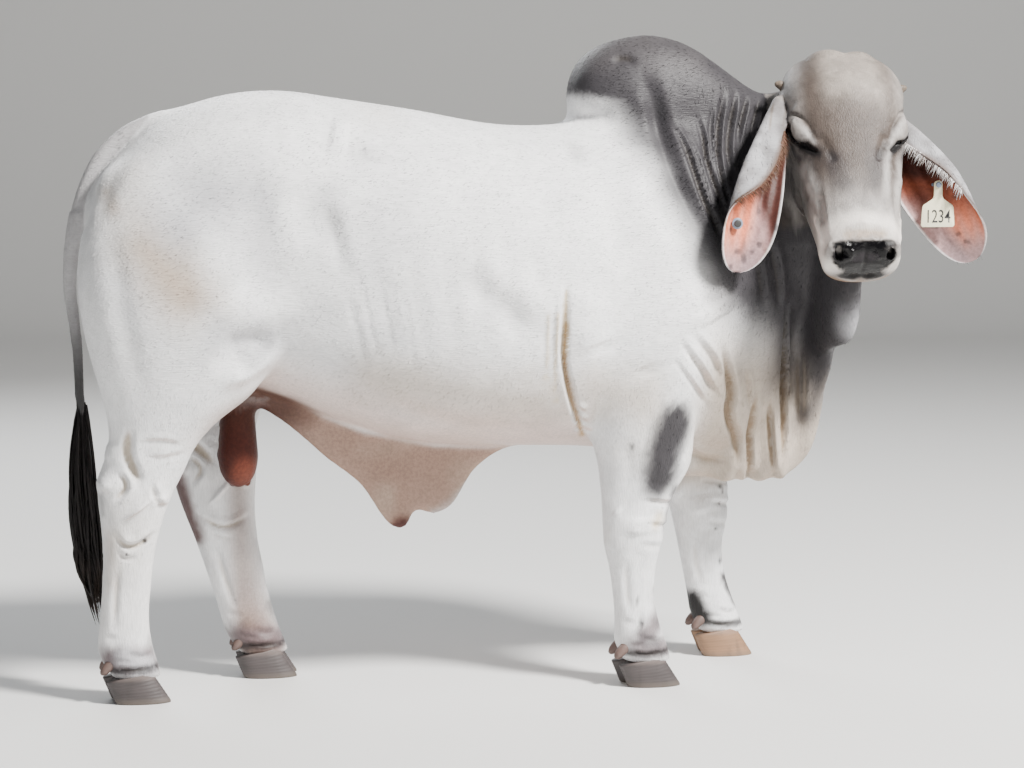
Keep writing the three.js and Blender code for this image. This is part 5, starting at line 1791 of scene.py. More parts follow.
@dataclass(frozen=True)
class PaintedFinish:
    """A smooth finish: the painted colour with one roughness, an optional clear coat and a grain."""

    name: str
    colour: tuple
    roughness: float = 0.5
    coat: float = 0.0
    grain: tuple = (60.0, 60.0, 60.0)
    relief: float = 0.0
    painted: bool = True
    specular: float = 0.5

    def material(self) -> Material:
        """The material, which reads the piece's Tint attribute if it has one."""
        material, shader, principled = new_material(self.name, self.colour)
        if self.painted:
            tint = shader.node("Attribute", attribute_name="Tint").outputs["Color"]
            shader.link(tint, principled, "Base Color")
        principled.inputs["Roughness"].default_value = self.roughness
        principled.inputs["Specular IOR Level"].default_value = self.specular
        principled.inputs["Coat Weight"].default_value = self.coat
        principled.inputs["Coat Roughness"].default_value = 0.03
        if self.relief:
            grain = shader.noise(shader.stretched(shader.spot(), self.grain), 1.0, 3.0)
            bump = shader.node("Bump", {"Strength": 0.6, "Distance": self.relief, "Height": grain})
            shader.link(bump.outputs[0], principled, "Normal")
        return material


def store(piece: Object, **values: ARRAY) -> None:
    """Each array kept on the piece's corners: n x 3 as a colour, n as a number."""
    for name, array in values.items():
        if array.ndim == 2:
            attribute = piece.data.attributes.new(name, "FLOAT_COLOR", "POINT")
            full = np.concatenate([array, np.ones((len(array), 1))], axis=1)
            attribute.data.foreach_set("color", full.astype(np.float32).ravel())
        else:
            attribute = piece.data.attributes.new(name, "FLOAT", "POINT")
            attribute.data.foreach_set("value", array.astype(np.float32))


# Skin


HIDE_NODES = (
    "torso hump neck dewlap sheath scrotum head ear_left ear_right tail_root tail_middle "
    "fore_right_upper fore_right_lower fore_left_upper fore_left_lower hind_right_thigh hind_right_hock "
    "hind_right_cannon hind_left_thigh hind_left_hock hind_left_cannon"
).split()


@dataclass
class Skin:
    """The finished hide and all that the coat needs to know of it."""

    form: Form
    normals: ARRAY
    colour: ARRAY
    bare: ARRAY
    unwrap: ARRAY


def unwrapped(piece: Object) -> ARRAY:
    """The piece laid flat in islands by Blender's projection, as faces x 3 x 2 places on the map."""
    bpy.context.view_layer.objects.active = piece
    piece.select_set(True)
    bpy.ops.object.mode_set(mode="EDIT")
    bpy.ops.mesh.select_all(action="SELECT")
    bpy.ops.uv.smart_project(angle_limit=math.radians(66), island_margin=0.001)
    bpy.ops.object.mode_set(mode="OBJECT")
    piece.select_set(False)
    layer = piece.data.uv_layers.active
    flat = np.empty(len(layer.uv) * 2, np.float32)
    layer.uv.foreach_get("vector", flat)
    return flat.reshape(-1, 3, 2).astype(float)


def build_hide(group: NodeTree) -> Skin:
    """The skin as a piece, painted.

    Args:
        group: the short hair group.

    Returns:
        The skin, for the coat to stand on.
    """
    hide = Hide().form()
    normals = hide.normals()
    colour, bare = MARKINGS_AND_SHADING.paint(hide.corners, normals)
    colour, bare = ear_paint(colour, bare, hide.corners)
    # Narrow grooves darken by their depth, a little warm: painted shade in the creases
    narrow = [stroke for stroke in all_strokes() if stroke.width < 14]
    groove = ease(-lifted(hide, narrow), 1.5, 11)
    colour = DEEPEN * (colour / DEEPEN) ** 1.3 * (1 - groove[:, None] * [0.36, 0.44, 0.54])
    finish = HairFinish("Hide", PALE).material(group)
    piece = place("Hide", hide, finish, "coat_pale", *HIDE_NODES)
    unwrap = unwrapped(piece)
    store(piece, Tint=colour, Bare=bare)
    return Skin(hide, normals, colour, bare, unwrap)


# Coat


@dataclass(frozen=True)
class Tufts:
    """Roots of tufts on the hide: place, normal, lie, colour, and the root's place on the unwrap."""

    roots: ARRAY
    normals: ARRAY
    lie: ARRAY
    colour: ARRAY
    spot: ARRAY


def lie_of_coat(points: ARRAY, normals: ARRAY) -> ARRAY:
    """Which way hair lies: back and down the body, down the legs, away from the whorl on the face.

    Args:
        points: n x 3 places in the body's frame.
        normals: n x 3 directions out of the hide.

    Returns:
        n x 3 directions along the hide.
    """
    x, _, z = points.T
    head = to_head(points)
    way = np.tile(np.array([-1.0, 0, -0.42]), (len(points), 1))
    legs = 1 - ease(z, 620, 900)
    way += legs[:, None] * ([0.75, 0, -1.4] + 0 * way)
    hanging = (x > 560) & (z < 1150)
    way[hanging] = [-0.3, 0, -1.0]
    way[(x < -905) & (z < 1300)] = [0, 0, -1.0]
    on = ease(head[:, 2], -70, -20) * (head[:, 1] > -270) * (np.abs(head[:, 0]) < 190) * (z > 900)
    from_whorl = head - [0, 20, 165]
    face = unit(from_whorl * [0.8, 0.4, 1.0] + [0, -10, 12])
    way += (3 * on)[:, None] * (face @ HEAD_AXES - way)
    for ear in EARS:
        root, tip = np.asarray(ear.root, float), np.asarray(ear.tip, float)
        middle = np.asarray(ear.middle, float)
        box_low = np.minimum(np.minimum(root, tip), middle) - 60
        box_high = np.maximum(np.maximum(root, tip), middle) + 60
        inside = np.all((points > box_low) & (points < box_high), axis=1) & (head[:, 0] ** 2 > 165**2)
        way[inside] = tip - middle
    across = np.einsum("ij,ij->i", way, normals)
    return unit(way - across[:, None] * normals)


@dataclass
class Coat:
    """Short tufts over the hide: thin three-sided blades that lie along it and overlap."""

    count: int = 84_000
    per_piece: int = 19_500
    length: float = 12.5
    width: float = 0.8
    lift: float = 1.0
    seed: int = 17

    def sizes(self, points: ARRAY) -> ARRAY:
        """The share of full size at each place: smallest on the face and feet."""
        z = points[:, 2]
        head = to_head(points)
        on_face = ease(head[:, 2], -20, 60) * (np.abs(head[:, 0]) < 200) * (head[:, 1] > -280) * (z > 900)
        size = 1 - 0.5 * on_face - 0.12 * on_face * ease(head[:, 2], 420, 560)
        return np.minimum(size, 0.55 + 0.45 * ease(z, 350, 800))

    def planted(self, skin: Skin) -> Tufts:
        """Roots drawn over the hide's faces, evenly by area and closer where tufts are small."""
        draw = np.random.default_rng(self.seed)
        form = skin.form
        a, b, c = (form.corners[form.faces[:, i]] for i in range(3))
        area = np.linalg.norm(np.cross(b - a, c - a), axis=1)
        middle = (a + b + c) / 3
        hairy = 1 - ease(skin.bare[form.faces].mean(1), 0.25, 0.6)
        head = to_head(middle)
        nose = (np.abs(head[:, 0]) < 80) & (head[:, 2] > 548) & (head[:, 1] > -136) & (head[:, 1] < -34)
        for side in Side:
            eye = np.linalg.norm(head - EYE_AT * [side.value, 1, 1], axis=1)
            hairy = hairy * ease(eye, 27, 34)
        hairy = hairy * ~nose * (middle[:, 2] > 58)
        weight = area * hairy / self.sizes(middle) ** 1.6
        total = np.cumsum(weight)
        pick = np.searchsorted(total, np.sort(draw.uniform(0, total[-1], self.count)))
        first, second = draw.uniform(0, 1, (2, self.count))
        turned = first + second > 1
        first, second = np.where(turned, 1 - first, first), np.where(turned, 1 - second, second)
        share = np.stack([1 - first - second, first, second], 1)[:, :, None]
        faces = form.faces[pick]
        roots = (form.corners[faces] * share).sum(1)
        normals = unit((skin.normals[faces] * share).sum(1))
        colour = (skin.colour[faces] * share).sum(1)
        spot = (skin.unwrap[pick] * share).sum(1)
        order = np.argsort(roots[:, 0], kind="stable")
        fields = (roots, normals, lie_of_coat(roots, normals), colour, spot)
        return Tufts(*(values[order] for values in fields))

    def build(self, skin: Skin, finish: Material) -> None:
        """The tufts as pieces of at most per_piece, from rump to chest."""
        draw = np.random.default_rng(self.seed + 1)
        tufts = self.planted(skin)
        size = self.sizes(tufts.roots)
        length = self.length * size * draw.uniform(0.7, 1.3, self.count)
        width = self.width * (0.35 + 0.65 * size) * draw.uniform(0.8, 1.25, self.count)
        lift = self.lift * size * draw.uniform(0.6, 1.5, self.count)
        tone = draw.uniform(0.93, 1.07, self.count)
        skewed = np.cross(tufts.normals, tufts.lie) * draw.normal(0, 0.16, self.count)[:, None]
        lie = unit(tufts.lie + skewed)
        colour = tufts.colour * tone[:, None]
        parts = np.array_split(np.arange(self.count), -(-self.count // self.per_piece))
        for index, part in enumerate(parts, 1):
            shape = (length[part], width[part], lift[part])
            plant_tufts(f"Coat {index}", tufts, part, lie[part], shape, colour[part], finish)


def plant_tufts(
    name: str,
    tufts: Tufts,
    part: ARRAY,
    lie: ARRAY,
    shape: tuple[ARRAY, ARRAY, ARRAY],
    colour: ARRAY,
    finish: Material,
) -> None:
    """One piece of coat: closed three-sided blades that rise from their roots and bend into the lie.

    A blade's middle line is root + lie * L * t + normal * lift * (1 - (1 - t)^2), and its width falls
    as 1 - t^1.5 to a single point.

    Args:
        name: the piece's name.
        tufts: all roots.
        part: which of them this piece holds.
        lie: their directions.
        shape: their lengths, widths and lifts.
        colour: their colours.
        finish: the material.
    """
    length, width, lift = (value[:, None, None] for value in shape)
    levels = 3
    t = np.linspace(0, 1, levels)[None, :, None]
    root, normal = tufts.roots[part][:, None], tufts.normals[part][:, None]
    ahead = lie[:, None]
    centre = root - normal * 0.6 + ahead * length * t + normal * lift * (1 - (1 - t) ** 2)
    side = np.cross(normal, ahead)
    wide = width * (1 - t**1.5)
    ring = np.stack([centre - side * wide, centre + side * wide, centre + normal * wide * 0.4], axis=2)
    body = ring[:, :-1].reshape(len(part), -1, 3)
    corners = np.concatenate([body, centre[:, -1:]], axis=1)
    per = corners.shape[1]
    last = (levels - 2) * 3
    j = np.arange(3)
    tip = np.stack([last + j, last + (j + 1) % 3, np.full(3, per - 1)], 1)
    one = np.concatenate(strip_faces(levels - 1, 3) + [tip, [[2, 1, 0]]])
    faces = (one[None] + (np.arange(len(part)) * per)[:, None, None]).reshape(-1, 3)
    form = outward(corners.reshape(-1, 3), faces)
    piece = place(name, form, finish, "coat_pale")
    along = np.concatenate([np.repeat(t[0, :-1, 0], 3), [1.0]])
    tint = colour[:, None] * (0.97 + 0.06 * along)[None, :, None]
    store(piece, Tint=np.clip(tint.reshape(-1, 3), 0, 0.95))
    sideways = np.concatenate([np.tile([-1.0, 1.0, 0.0], levels - 1), [0.0]])
    patch = np.stack([sideways * 0.0015, along * 0.003], 1)
    spots = np.clip(tufts.spot[part][:, None] + patch, 0, 1).reshape(-1, 2)
    layer = piece.data.uv_layers.new(name="OFBake")
    layer.uv.foreach_set("vector", spots[form.faces.ravel()].astype(np.float32).ravel())


# Pieces


@dataclass
class Foot:
    """The four horny pieces of a foot: two claws with growth rings and two dewclaws."""

    leg: Leg
    steps: int = 40
    around: int = 72

    def claw(self, toe: float, y: float, side: int) -> Form:
        """One claw: rings that lean back as they rise, with low growth rings and a rounded sole edge."""
        t = np.linspace(0, 1, self.steps)[:, None]
        angle = (np.arange(self.around) / self.around * 2 * np.pi)[None, :]
        front = np.cos(angle)
        edge = 1 - 0.035 * np.exp(-((t / 0.03) ** 2))
        ripple = 0.006 * np.sin(2 * np.pi * t * 9 + 0.6 * front)
        growth = 1 + ripple * ease(t, 0.04, 0.2) * (1 - ease(t, 0.85, 1))
        reach = CLAW_LENGTH / 2 * (1 - 0.2 * t) * edge * growth
        middle = toe - CLAW_LENGTH / 2 - 36 * t
        narrowing = 1 - 0.26 * np.maximum(front, 0) ** 2
        across = signed_power(np.sin(angle), 0.8) * CLAW_WIDTH / 2 * (1 - 0.1 * t)
        across = across * narrowing * edge * growth
        across = np.where(across * side < 0, 0.76, 1) * across
        height = t * (CLAW_HEIGHT * (1 + 0.16 * front) - 8)
        x = middle + reach * signed_power(front, 0.85)
        return skinned(np.stack([x, y + across, height + 0 * x], axis=2))

    def dewclaw(self, y: float, side: int) -> Form:
        """One dewclaw: a short blunt nail bent down behind the pastern."""
        x, z = self.leg.heel + 8, 98
        rows = [
            [x + 34, y - 6 * side, z + 15, 12, 11, 11], [x + 14, y, z, 14, 13, 13],
            [x, y + 2 * side, z - 14, 13, 11, 11], [x - 6, y + 3 * side, z - 23, 9, 7, 7],
            [x - 7, y + 3.3 * side, z - 26, 3, 3, 3],
        ]
        return path_form(rows, 24, 28, 2.2)

    def paint(self, form: Form, base: tuple) -> ARRAY:
        """Horn colour: faintly banded along its height, paler at the coronet, dirty at the sole."""
        z = form.corners[:, 2]
        colour = plain(base, z)
        bands = noise(np.stack([0 * z, 0 * z, z], 1), 7, self.leg.toe)
        colour *= (1 + 0.08 * bands + 0.2 * noise(form.corners, 34, 4.0))[:, None]
        streaks = ease(noise(form.corners * [1, 1, 0.12], 11, 6.0), 0.2, 0.8)
        colour = over(colour, (0.03, 0.025, 0.024), 0.3 * streaks)
        colour = over(colour, (0.22, 0.17, 0.15), 0.35 * ease(z, 54, 66))
        return over(colour, (0.16, 0.13, 0.10), 0.4 * (1 - ease(z, 2, 20)))

    def build(self, finish: Material) -> None:
        """The claws and dewclaws as pieces in place of their nodes."""
        leg, side = self.leg, self.leg.side.value
        apart = CLAW_WIDTH / 2 * 0.76 + 4
        horn = (0.26, 0.15, 0.085) if leg.name == "fore_left" else (0.060, 0.050, 0.050)
        made = {
            f"claw_{leg.name}_outer": self.claw(leg.toe, side * (leg.foot + apart), side),
            f"claw_{leg.name}_inner": self.claw(leg.toe - 6, side * (leg.foot - apart), -side),
            f"dewclaw_{leg.name}_outer": self.dewclaw(side * (leg.foot + 30), side),
            f"dewclaw_{leg.name}_inner": self.dewclaw(side * (leg.foot - 30), -side),
        }
        for node, form in made.items():
            title = node.replace("_", " ").capitalize()
            base = horn if node.startswith("claw") else (0.085, 0.042, 0.034)
            store(place(title, form, finish, "hoof", node), Tint=self.paint(form, base))


@dataclass
class Eye:
    """An eyeball with a wide dark pupil, a brown iris and a little dark white at its corners."""

    side: Side
    iris: float = 14.5

    def build(self, hide: Hide, finish: Material) -> None:
        """The ball, with a low cornea over the iris, painted ring by ring."""
        centre, axes = hide.eye_frame(self.side)
        ball = ellipsoid([0, 0, 0], [1, 1, 1], 64, 48)
        long, wide, out = ball.corners.T
        from_axis = np.hypot(long, wide) * EYE_RADIUS
        raised = 1.2 * (1 - ease(from_axis, 6, self.iris)) * (out > 0)
        corners = (ball.corners * (EYE_RADIUS - 1.0 + raised)[:, None]) @ axes + centre
        colour = plain((0.20, 0.13, 0.10), corners)
        iris = 1 - ease(from_axis, self.iris - 1.5, self.iris)
        colour = over(colour, (0.035, 0.014, 0.008), iris * (out > 0))
        pupil = 1 - ease(np.hypot(long * EYE_RADIUS / 10.5, wide * EYE_RADIUS / 6.5), 0.85, 1.1)
        colour = over(colour, (0.006, 0.006, 0.010), pupil * (out > 0))
        form = Form(from_head(corners), ball.faces)
        piece = place(f"Eye {self.side.title}", form, finish, "eye", f"eye_{self.side.title}")
        store(piece, Tint=colour)

    def lash(self, hide: Hide, finish: Material, count: int = 46) -> None:
        """Dark lashes along the upper lid, bent down over the slit."""
        centre, axes = hide.eye_frame(self.side)
        draw = np.random.default_rng(31)
        u = np.linspace(-0.92, 0.92, count)
        lift = hide.slit_open * (1 - u**2) ** 0.8 + 1.5
        flat = np.stack([u * hide.slit_length, lift], 1)
        out = np.sqrt(np.maximum((EYE_RADIUS + 2.2) ** 2 - (flat**2).sum(1), 60))
        root = (centre + flat @ axes[:2] + out[:, None] * axes[2])[:, None]
        t = np.linspace(0, 1, 6)[None, :, None]
        length = draw.uniform(9, 14, count)[:, None, None]
        slant = (0.45 * u + draw.normal(0, 0.12, count))[:, None, None]
        bend = axes[2] * t * (1 - 0.3 * t) - axes[1] * (0.5 * t + 0.6 * t**2) + slant * axes[0] * t
        middle = root + length * bend
        width = 0.75 * (1 - t**1.5) + 0.08
        ring = [middle + axes[0] * width, middle - axes[0] * width, middle + axes[2] * width * 0.8]
        grid = np.stack(ring, axis=2)
        form = blades(from_head(grid.reshape(-1, 3)).reshape(grid.shape))
        piece = place(f"Lashes {self.side.title}", form, finish, "tail_hair")
        store(piece, Tint=plain((0.02, 0.016, 0.015), form.corners))


def build_scur(side: Side, finish: Material) -> None:
    """A short blunt scur beside the poll, ringed and rough."""
    sign = side.value
    lower = 20 if side is Side.FAR else 0
    rows = [
        [sign * 108, -78, 63 + lower, 15, 14, 14], [sign * 138, -70, 56 + lower, 14, 13, 13],
        [sign * 154, -64, 50 + lower, 11, 10, 10], [sign * 163, -61, 47 + lower, 7, 6, 6],
        [sign * 166, -60, 46 + lower, 2, 2, 2],
    ]
    form = path_form(rows, 40, 36)
    walked = np.abs(form.corners[:, 0])
    swell = 0.5 * np.sin(walked / 2.6) + 0.9 * noise(form.corners, 9, 2.0)
    corners = form.corners + form.normals() * swell[:, None]
    colour = plain((0.13, 0.10, 0.075), corners)
    colour *= (1 + 0.3 * noise(corners, 12, 8.0))[:, None]
    scur = Form(from_head(corners), form.faces)
    piece = place(f"Scur {side.title}", scur, finish, "horn", f"horn_{side.title}")
    store(piece, Tint=colour)


# Tail switch


@dataclass
class Switch:
    """The hanging black end of the tail: flat tapered locks in tiers over a thin core."""

    tiers: int = 6
    locks: int = 40
    seed: int = 5

    def lock_grid(self, roots: ARRAY, leans: ARRAY, lengths: ARRAY, widths: ARRAY, steps: int = 14) -> Form:
        """Locks as flat three-sided blades: each hangs from its root, swells out and falls back in.

        The sideways swell is spread * sin(pi * t^0.9), with a slow twist and a wave; the width tapers
        as 1 - t^1.8 to a point.
        """
        t = np.linspace(0, 1, steps)[None, :, None]
        out = np.stack([np.cos(leans), np.sin(leans), 0 * leans], 1)[:, None]
        across = np.stack([-np.sin(leans), np.cos(leans), 0 * leans], 1)[:, None]
        draw = np.random.default_rng(self.seed)
        count = len(roots)
        spread = draw.uniform(8, 27, count)[:, None, None]
        wave = draw.uniform(-9, 9, count)[:, None, None]
        phase = draw.uniform(0, 6.28, count)[:, None, None]
        sway = np.array([1.0, 0, 0]) * (26 * t**2 - 5 * np.sin(np.pi * t))
        centre = roots[:, None] + out * spread * np.sin(np.pi * t**0.9)
        centre = centre + across * wave * np.sin(2.2 * np.pi * t + phase) * t + sway
        centre = centre - np.array([0, 0, 1.0]) * lengths[:, None, None] * t
        turn = phase + 1.2 * t
        flat = across * np.cos(turn) + out * np.sin(turn)
        thick = across * -np.sin(turn) + out * np.cos(turn)
        width = widths[:, None, None] * (1 - t**1.8) + 0.35
        ring = [centre + flat * width, centre + thick * width * 0.42, centre - flat * width]
        return blades(np.stack(ring, axis=2))

    def build(self, finish: Material) -> None:
        """The switch in place of its node."""
        draw = np.random.default_rng(self.seed + 1)
        count = self.tiers * self.locks
        tier = np.repeat(np.arange(self.tiers), self.locks)
        height = 700 - 62 * tier + draw.uniform(-30, 30, count)
        leans = draw.uniform(0, 2 * np.pi, count)
        around = draw.uniform(4, 13, count)
        x = np.interp(height, [400, 560, 740], [-931, -935, -944]) + around * np.cos(leans)
        roots = np.stack([x, around * np.sin(leans), height], 1)
        bottom = draw.uniform(165, 330, count)
        lengths = np.minimum(height - bottom, 420)
        locks = self.lock_grid(roots, leans, lengths, draw.uniform(3.0, 6.5, count))
        core = path_form(
            [
                [-940, 0, 660, 12, 11, 11], [-936, 0, 560, 15, 14, 14], [-933, 0, 470, 14, 13, 13],
                [-930, 0, 380, 9, 8, 8], [-928, 0, 330, 2, 2, 2],
            ],
            40,
            20,
        )
        form = joined([core, locks])
        tone = 1 + 0.5 * noise(form.corners * [1, 1, 0.2], 12, 3.0)
        colour = np.array([0.016, 0.013, 0.013]) * tone[:, None]
        brown = ease(noise(form.corners * [1, 1, 0.15], 16, 9.0), 0.1, 0.8) * 0.5
        colour = over(colour, (0.055, 0.034, 0.022), brown * (1 - ease(form.corners[:, 2], 200, 420)))
        store(place("Tail switch", form, finish, "tail_hair", "tail_switch"), Tint=colour)


@dataclass
class Fringe:
    """Long soft hairs standing off the folded edge of an ear."""

    ear: Ear
    stretch: tuple
    colours: tuple
    count: int
    length: float

    def build(self, finish: Material) -> None:
        """The hairs as one piece: each leaves the flap along it, sags and tapers to a point."""
        skin, way, _, _, t, _ = self.ear.sheet()
        outer = -self.ear.side.value
        edge = -1 if outer > 0 else 0
        draw = np.random.default_rng(23)
        share = draw.uniform(*self.stretch, self.count)
        rooted = np.concatenate([skin[:, edge], way[:, edge] * outer], axis=1)
        found = np.stack([np.interp(share, t[:, 0], column) for column in rooted.T], 1)
        ahead = unit(found[:, 3:] + draw.normal(0, 0.28, (self.count, 3)) + [0, -0.25, -0.55])[:, None]
        root = found[:, None, :3] - ahead * 5
        step = np.linspace(0, 1, 6)[None, :, None]
        length = (self.length * draw.uniform(0.5, 1.25, self.count))[:, None, None]
        line = root + ahead * length * step + np.array([0, 0, -0.35]) * length * step**2
        side = unit(np.cross(ahead, [0, -1.0, 0]))
        width = 0.9 * (1 - step**1.5) + 0.08
        below = np.array([0, -0.6, 0])
        form = blades(np.stack([line + side * width, line - side * width, line + below * width], axis=2))
        tone = np.repeat(draw.uniform(0, 1, self.count), form.corners.shape[0] // self.count)
        colour = over(plain(self.colours[0], tone), self.colours[1], tone**1.5)
        store(place(f"Ear fringe {self.ear.side.title}", form, finish, "ear_skin"), Tint=colour)


# Ear tag and button


@dataclass
class EarTag:
    """A flat moulded tag with a neck, plain digits pressed on it, and its stud and the ear button."""

    at: tuple = (1165.0, -321.0, 1264.0)
    width: float = 82.0
    height: float = 71.0
    neck: float = 22.0
    neck_length: float = 34.0
    thick: float = 2.4
    digits: str = "1234"

    def outline(self) -> ARRAY:
        """The panel's outline in x and z, with rounded corners, round the top of its neck."""
        half, narrow, low = self.width / 2, self.neck / 2, self.neck_length
        arc = np.linspace(0, math.pi, 15)
        points = [[narrow * math.cos(a), narrow * math.sin(a)] for a in arc]
        points += [[-narrow, -low + 6], [-narrow - 4, -low - 1], [-half + 3, -low - 16], [-half, -low - 22]]
        points += [[-half - 3, -low - self.height + 5], [-half + 1, -low - self.height]]
        points += [[half - 1, -low - self.height], [half + 3, -low - self.height + 5]]
        points += [[half, -low - 22], [half - 3, -low - 16], [narrow + 4, -low - 1], [narrow, -low + 6]]
        return np.array(points)

    def panel(self) -> Form:
        """The outline carried through the panel's thickness with rounded edges."""
        flat = self.outline()
        middle = np.array([0, -self.neck_length - 20])
        sections = []
        for depth, shrink in ((0, 0.985), (0.5, 1.0), (self.thick - 0.5, 1.0), (self.thick, 0.985)):
            ring = middle + (flat - middle) * shrink
            sections.append(np.stack([ring[:, 0], np.full(len(ring), depth - self.thick), ring[:, 1]], 1))
        return skinned(np.array(sections) + self.at)

    def build(self, tag: Material, ink: Material, dark: Material) -> None:
        """Panel, digits, stud and button as pieces."""
        place("Ear tag", self.panel(), tag, "tag", "ear_tag_panel")
        self.add_digits(ink)
        stud = self.pin(1165, 1264, (-324.4, -269), (4, 7, 13))
        place("Ear tag stud", stud, dark, "button", "ear_tag_stud")
        button = self.pin(641, 1172, (-342, -314), (4, 14, 14))
        place("Ear button", button, dark, "button", "ear_button")
        rim = self.pin(641, 1172, (-346.3, -341), (2, 9, 6))
        place("Ear button boss", rim, ink, "button")

    def add_digits(self, ink: Material) -> None:
        """The digits as a thin raised mesh on the panel's face."""
        curve = bpy.data.curves.new("Digits", "FONT")
        curve.body = self.digits
        curve.size = 46
        curve.align_x = "CENTER"
        curve.align_y = "CENTER"
        curve.offset = 0.15
        curve.extrude = 0.3
        curve.resolution_u = 6
        thing = bpy.data.objects.new("Digits", curve)
        bpy.context.scene.collection.objects.link(thing)
        ready = thing.evaluated_get(bpy.context.evaluated_depsgraph_get())
        mesh = bpy.data.meshes.new_from_object(ready)
        flat = read_form(mesh)
        bpy.data.objects.remove(thing)
        bpy.data.meshes.remove(mesh)
        x, z, y = (flat.corners * [0.74, 1.0, 1.0]).T
        corners = np.stack([x, -self.thick - y, z - self.neck_length - 46], 1) + self.at
        place("Tag digits", outward(corners, flat.faces), ink, "tag")

    def pin(self, x: float, z: float, depths: tuple, radii: tuple) -> Form:
        """A turned pin: its profile of depth and radius carried round Y, with rounded edges.

        Args:
            x: its axis's place along the body.
            z: its axis's height.
            depths: where its bar starts and ends.
            radii: of the bar and of the near and far heads.

        Returns:
            The closed form.
        """
        (front, back), (bar, near, far) = depths, radii
        profile = [
            [front - 4, 0.3], [front - 4, near - 1.6], [front - 3.6, near - 0.6], [front - 2.8, near],
            [front - 0.6, near], [front, near - 0.6], [front, bar], [back, bar], [back, far - 0.5],
            [back + 0.6, far], [back + 2.4, far], [back + 3, far - 0.8], [back + 3, 0.3],
        ]
        depth, radius = np.array(profile).T[:, :, None]
        angle = (np.arange(40) / 40 * 2 * np.pi)[None, :]
        ring = [x + radius * np.cos(angle), depth + 0 * angle, z + radius * np.sin(angle)]
        return skinned(np.stack(ring, axis=2))


# Stage


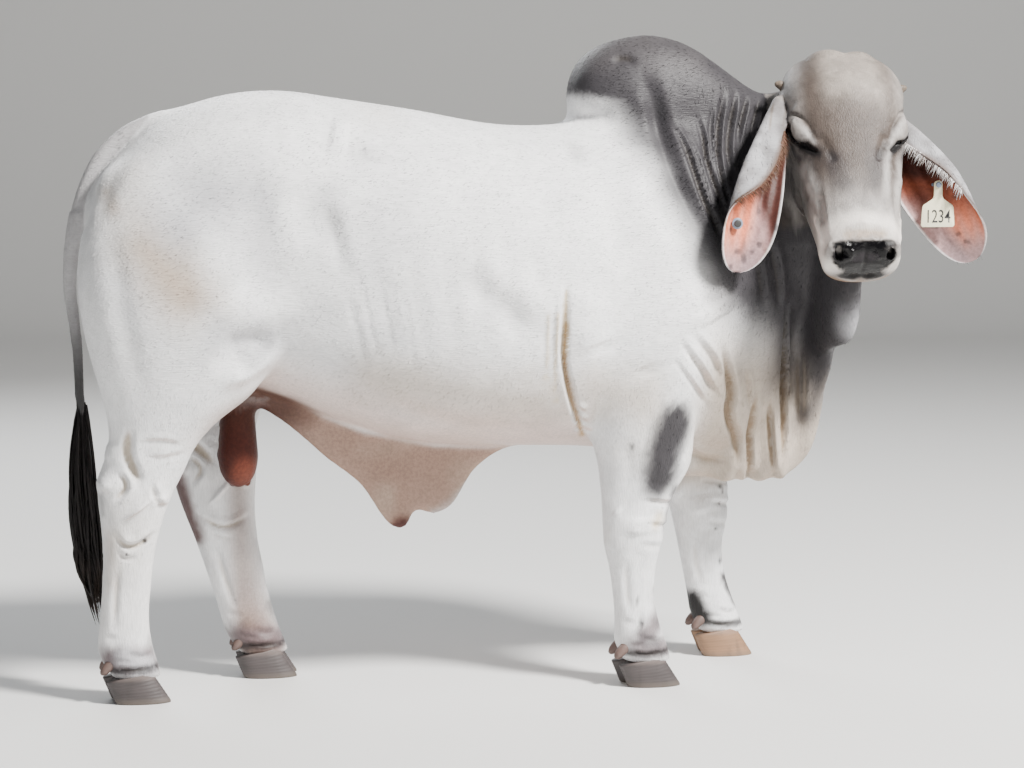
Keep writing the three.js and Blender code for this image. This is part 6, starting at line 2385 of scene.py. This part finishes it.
@dataclass(frozen=True)
class Stage:
    """Floor, camera and lights, at the photograph's angle."""

    camera_at: tuple = (-1.12, -6.51, 1.40)
    turn: float = -11.0
    tilt: float = 5.569
    lens: float = 91.58

    def build(self) -> None:
        """All of it, set round the body."""
        self.floor()
        self.camera()
        self.light("Key", (3.8, -4.2, 6.4), 1.6, 2300, (1.0, 0.975, 0.94))
        self.light("Fill", (-5.5, -5.5, 2.6), 5.0, 45, (0.92, 0.96, 1.0))
        self.light("Back", (-1.5, 5.5, 4.6), 4.0, 300, (0.96, 0.98, 1.0))

    def floor(self) -> None:
        """A pale floor that curves up behind into a plain backdrop."""
        across = np.linspace(-16, 16, 17)
        bend = np.linspace(0.1, math.pi / 2, 12)
        reach = np.concatenate([np.linspace(-9, 11, 21), 11 + 3 * np.sin(bend), [14]])
        rise = np.concatenate([np.zeros(21), 3 * (1 - np.cos(bend)), [9]])
        x, y = np.meshgrid(across, reach)
        z = np.repeat(rise[:, None], len(across), axis=1)
        turn = math.radians(self.turn)
        cos, sin = math.cos(turn), math.sin(turn)
        spot = np.stack([x * cos - y * sin, x * sin + y * cos, z], 2)
        i, j = np.meshgrid(np.arange(len(reach) - 1), np.arange(len(across) - 1), indexing="ij")
        a = (i * len(across) + j).ravel()
        faces = np.stack([a, a + 1, a + 1 + len(across), a + len(across)], 1)
        floor = linked("Floor", raw_mesh("Floor", spot.reshape(-1, 3), faces))
        material, _, principled = new_material("Floor", (0.72, 0.72, 0.71))
        principled.inputs["Roughness"].default_value = 0.85
        floor.data.materials.append(material)

    def camera(self) -> None:
        """The camera, looking along the photograph's direction."""
        data = bpy.data.cameras.new("Camera")
        data.lens = self.lens
        data.sensor_width = 36
        data.sensor_fit = "HORIZONTAL"
        camera = bpy.data.objects.new("Camera", data)
        camera.location = np.array(self.camera_at) - SHIFT * MM
        camera.rotation_euler = (math.radians(90 - self.tilt), 0, math.radians(self.turn))
        bpy.context.scene.collection.objects.link(camera)
        bpy.context.scene.camera = camera

    def light(self, name: str, at: tuple, size: float, power: float, colour: tuple) -> None:
        """A soft round lamp aimed at the body's middle."""
        data = bpy.data.lights.new(name, "AREA")
        data.shape = "DISK"
        data.size = size
        data.energy = power
        data.color = colour
        lamp = bpy.data.objects.new(name, data)
        away = unit(np.array(at) - [0.0, 0.0, 0.9])
        lamp.location = at
        lamp.rotation_euler = (math.acos(away[2]), 0, math.atan2(away[0], -away[1]))
        bpy.context.scene.collection.objects.link(lamp)


def world(strength: float) -> None:
    """An even pale surround."""
    surround = bpy.data.worlds.new("Surround")
    surround.use_nodes = True
    background = surround.node_tree.nodes["Background"]
    background.inputs["Color"].default_value = (0.93, 0.96, 1.0, 1)
    background.inputs["Strength"].default_value = strength
    bpy.context.scene.world = surround


def main() -> None:
    """Build every piece."""
    logging.basicConfig(level=logging.INFO, format="%(message)s")
    group = short_hair_group()
    hide = build_hide(group)
    coat = PaintedFinish("Coat", PALE, 0.66, specular=0.2).material()
    Coat().build(hide, coat)
    hoof = PaintedFinish("Hoof horn", (0.26, 0.22, 0.2), 0.55, 0.0, (40, 40, 200), 0.0005).material()
    for leg in LEGS:
        Foot(leg).build(hoof)
    wet = PaintedFinish("Eye", (0.03, 0.02, 0.015), 0.12, 1.0).material()
    horn = PaintedFinish("Scur horn", (0.35, 0.28, 0.2), 0.6, 0.0, (90, 90, 90), 0.0015).material()
    black = (0.012, 0.011, 0.012)
    hair = PaintedFinish("Tail hair", black, 0.5, 0.0, (500, 500, 20), 0.001, specular=0.22).material()
    for side in Side:
        Eye(side).build(Hide(), wet)
        Eye(side).lash(Hide(), hair)
        build_scur(side, horn)
    Fringe(EARS[0], (0.2, 0.66), (EAR_BROWN, GROIN), 320, 24.0).build(coat)
    Fringe(EARS[1], (0.08, 0.6), (PALE, EAR_BROWN), 240, 26.0).build(coat)
    Switch().build(hair)
    tag = PaintedFinish("Tag", (0.80, 0.76, 0.55), 0.45, painted=False).material()
    ink = PaintedFinish("Tag ink", (0.03, 0.03, 0.03), 0.5, painted=False).material()
    dark = PaintedFinish("Button", (0.20, 0.25, 0.33), 0.4, painted=False).material()
    EarTag().build(tag, ink, dark)
    Stage().build()
    world(0.15)


if __name__ == "__main__":
    main()
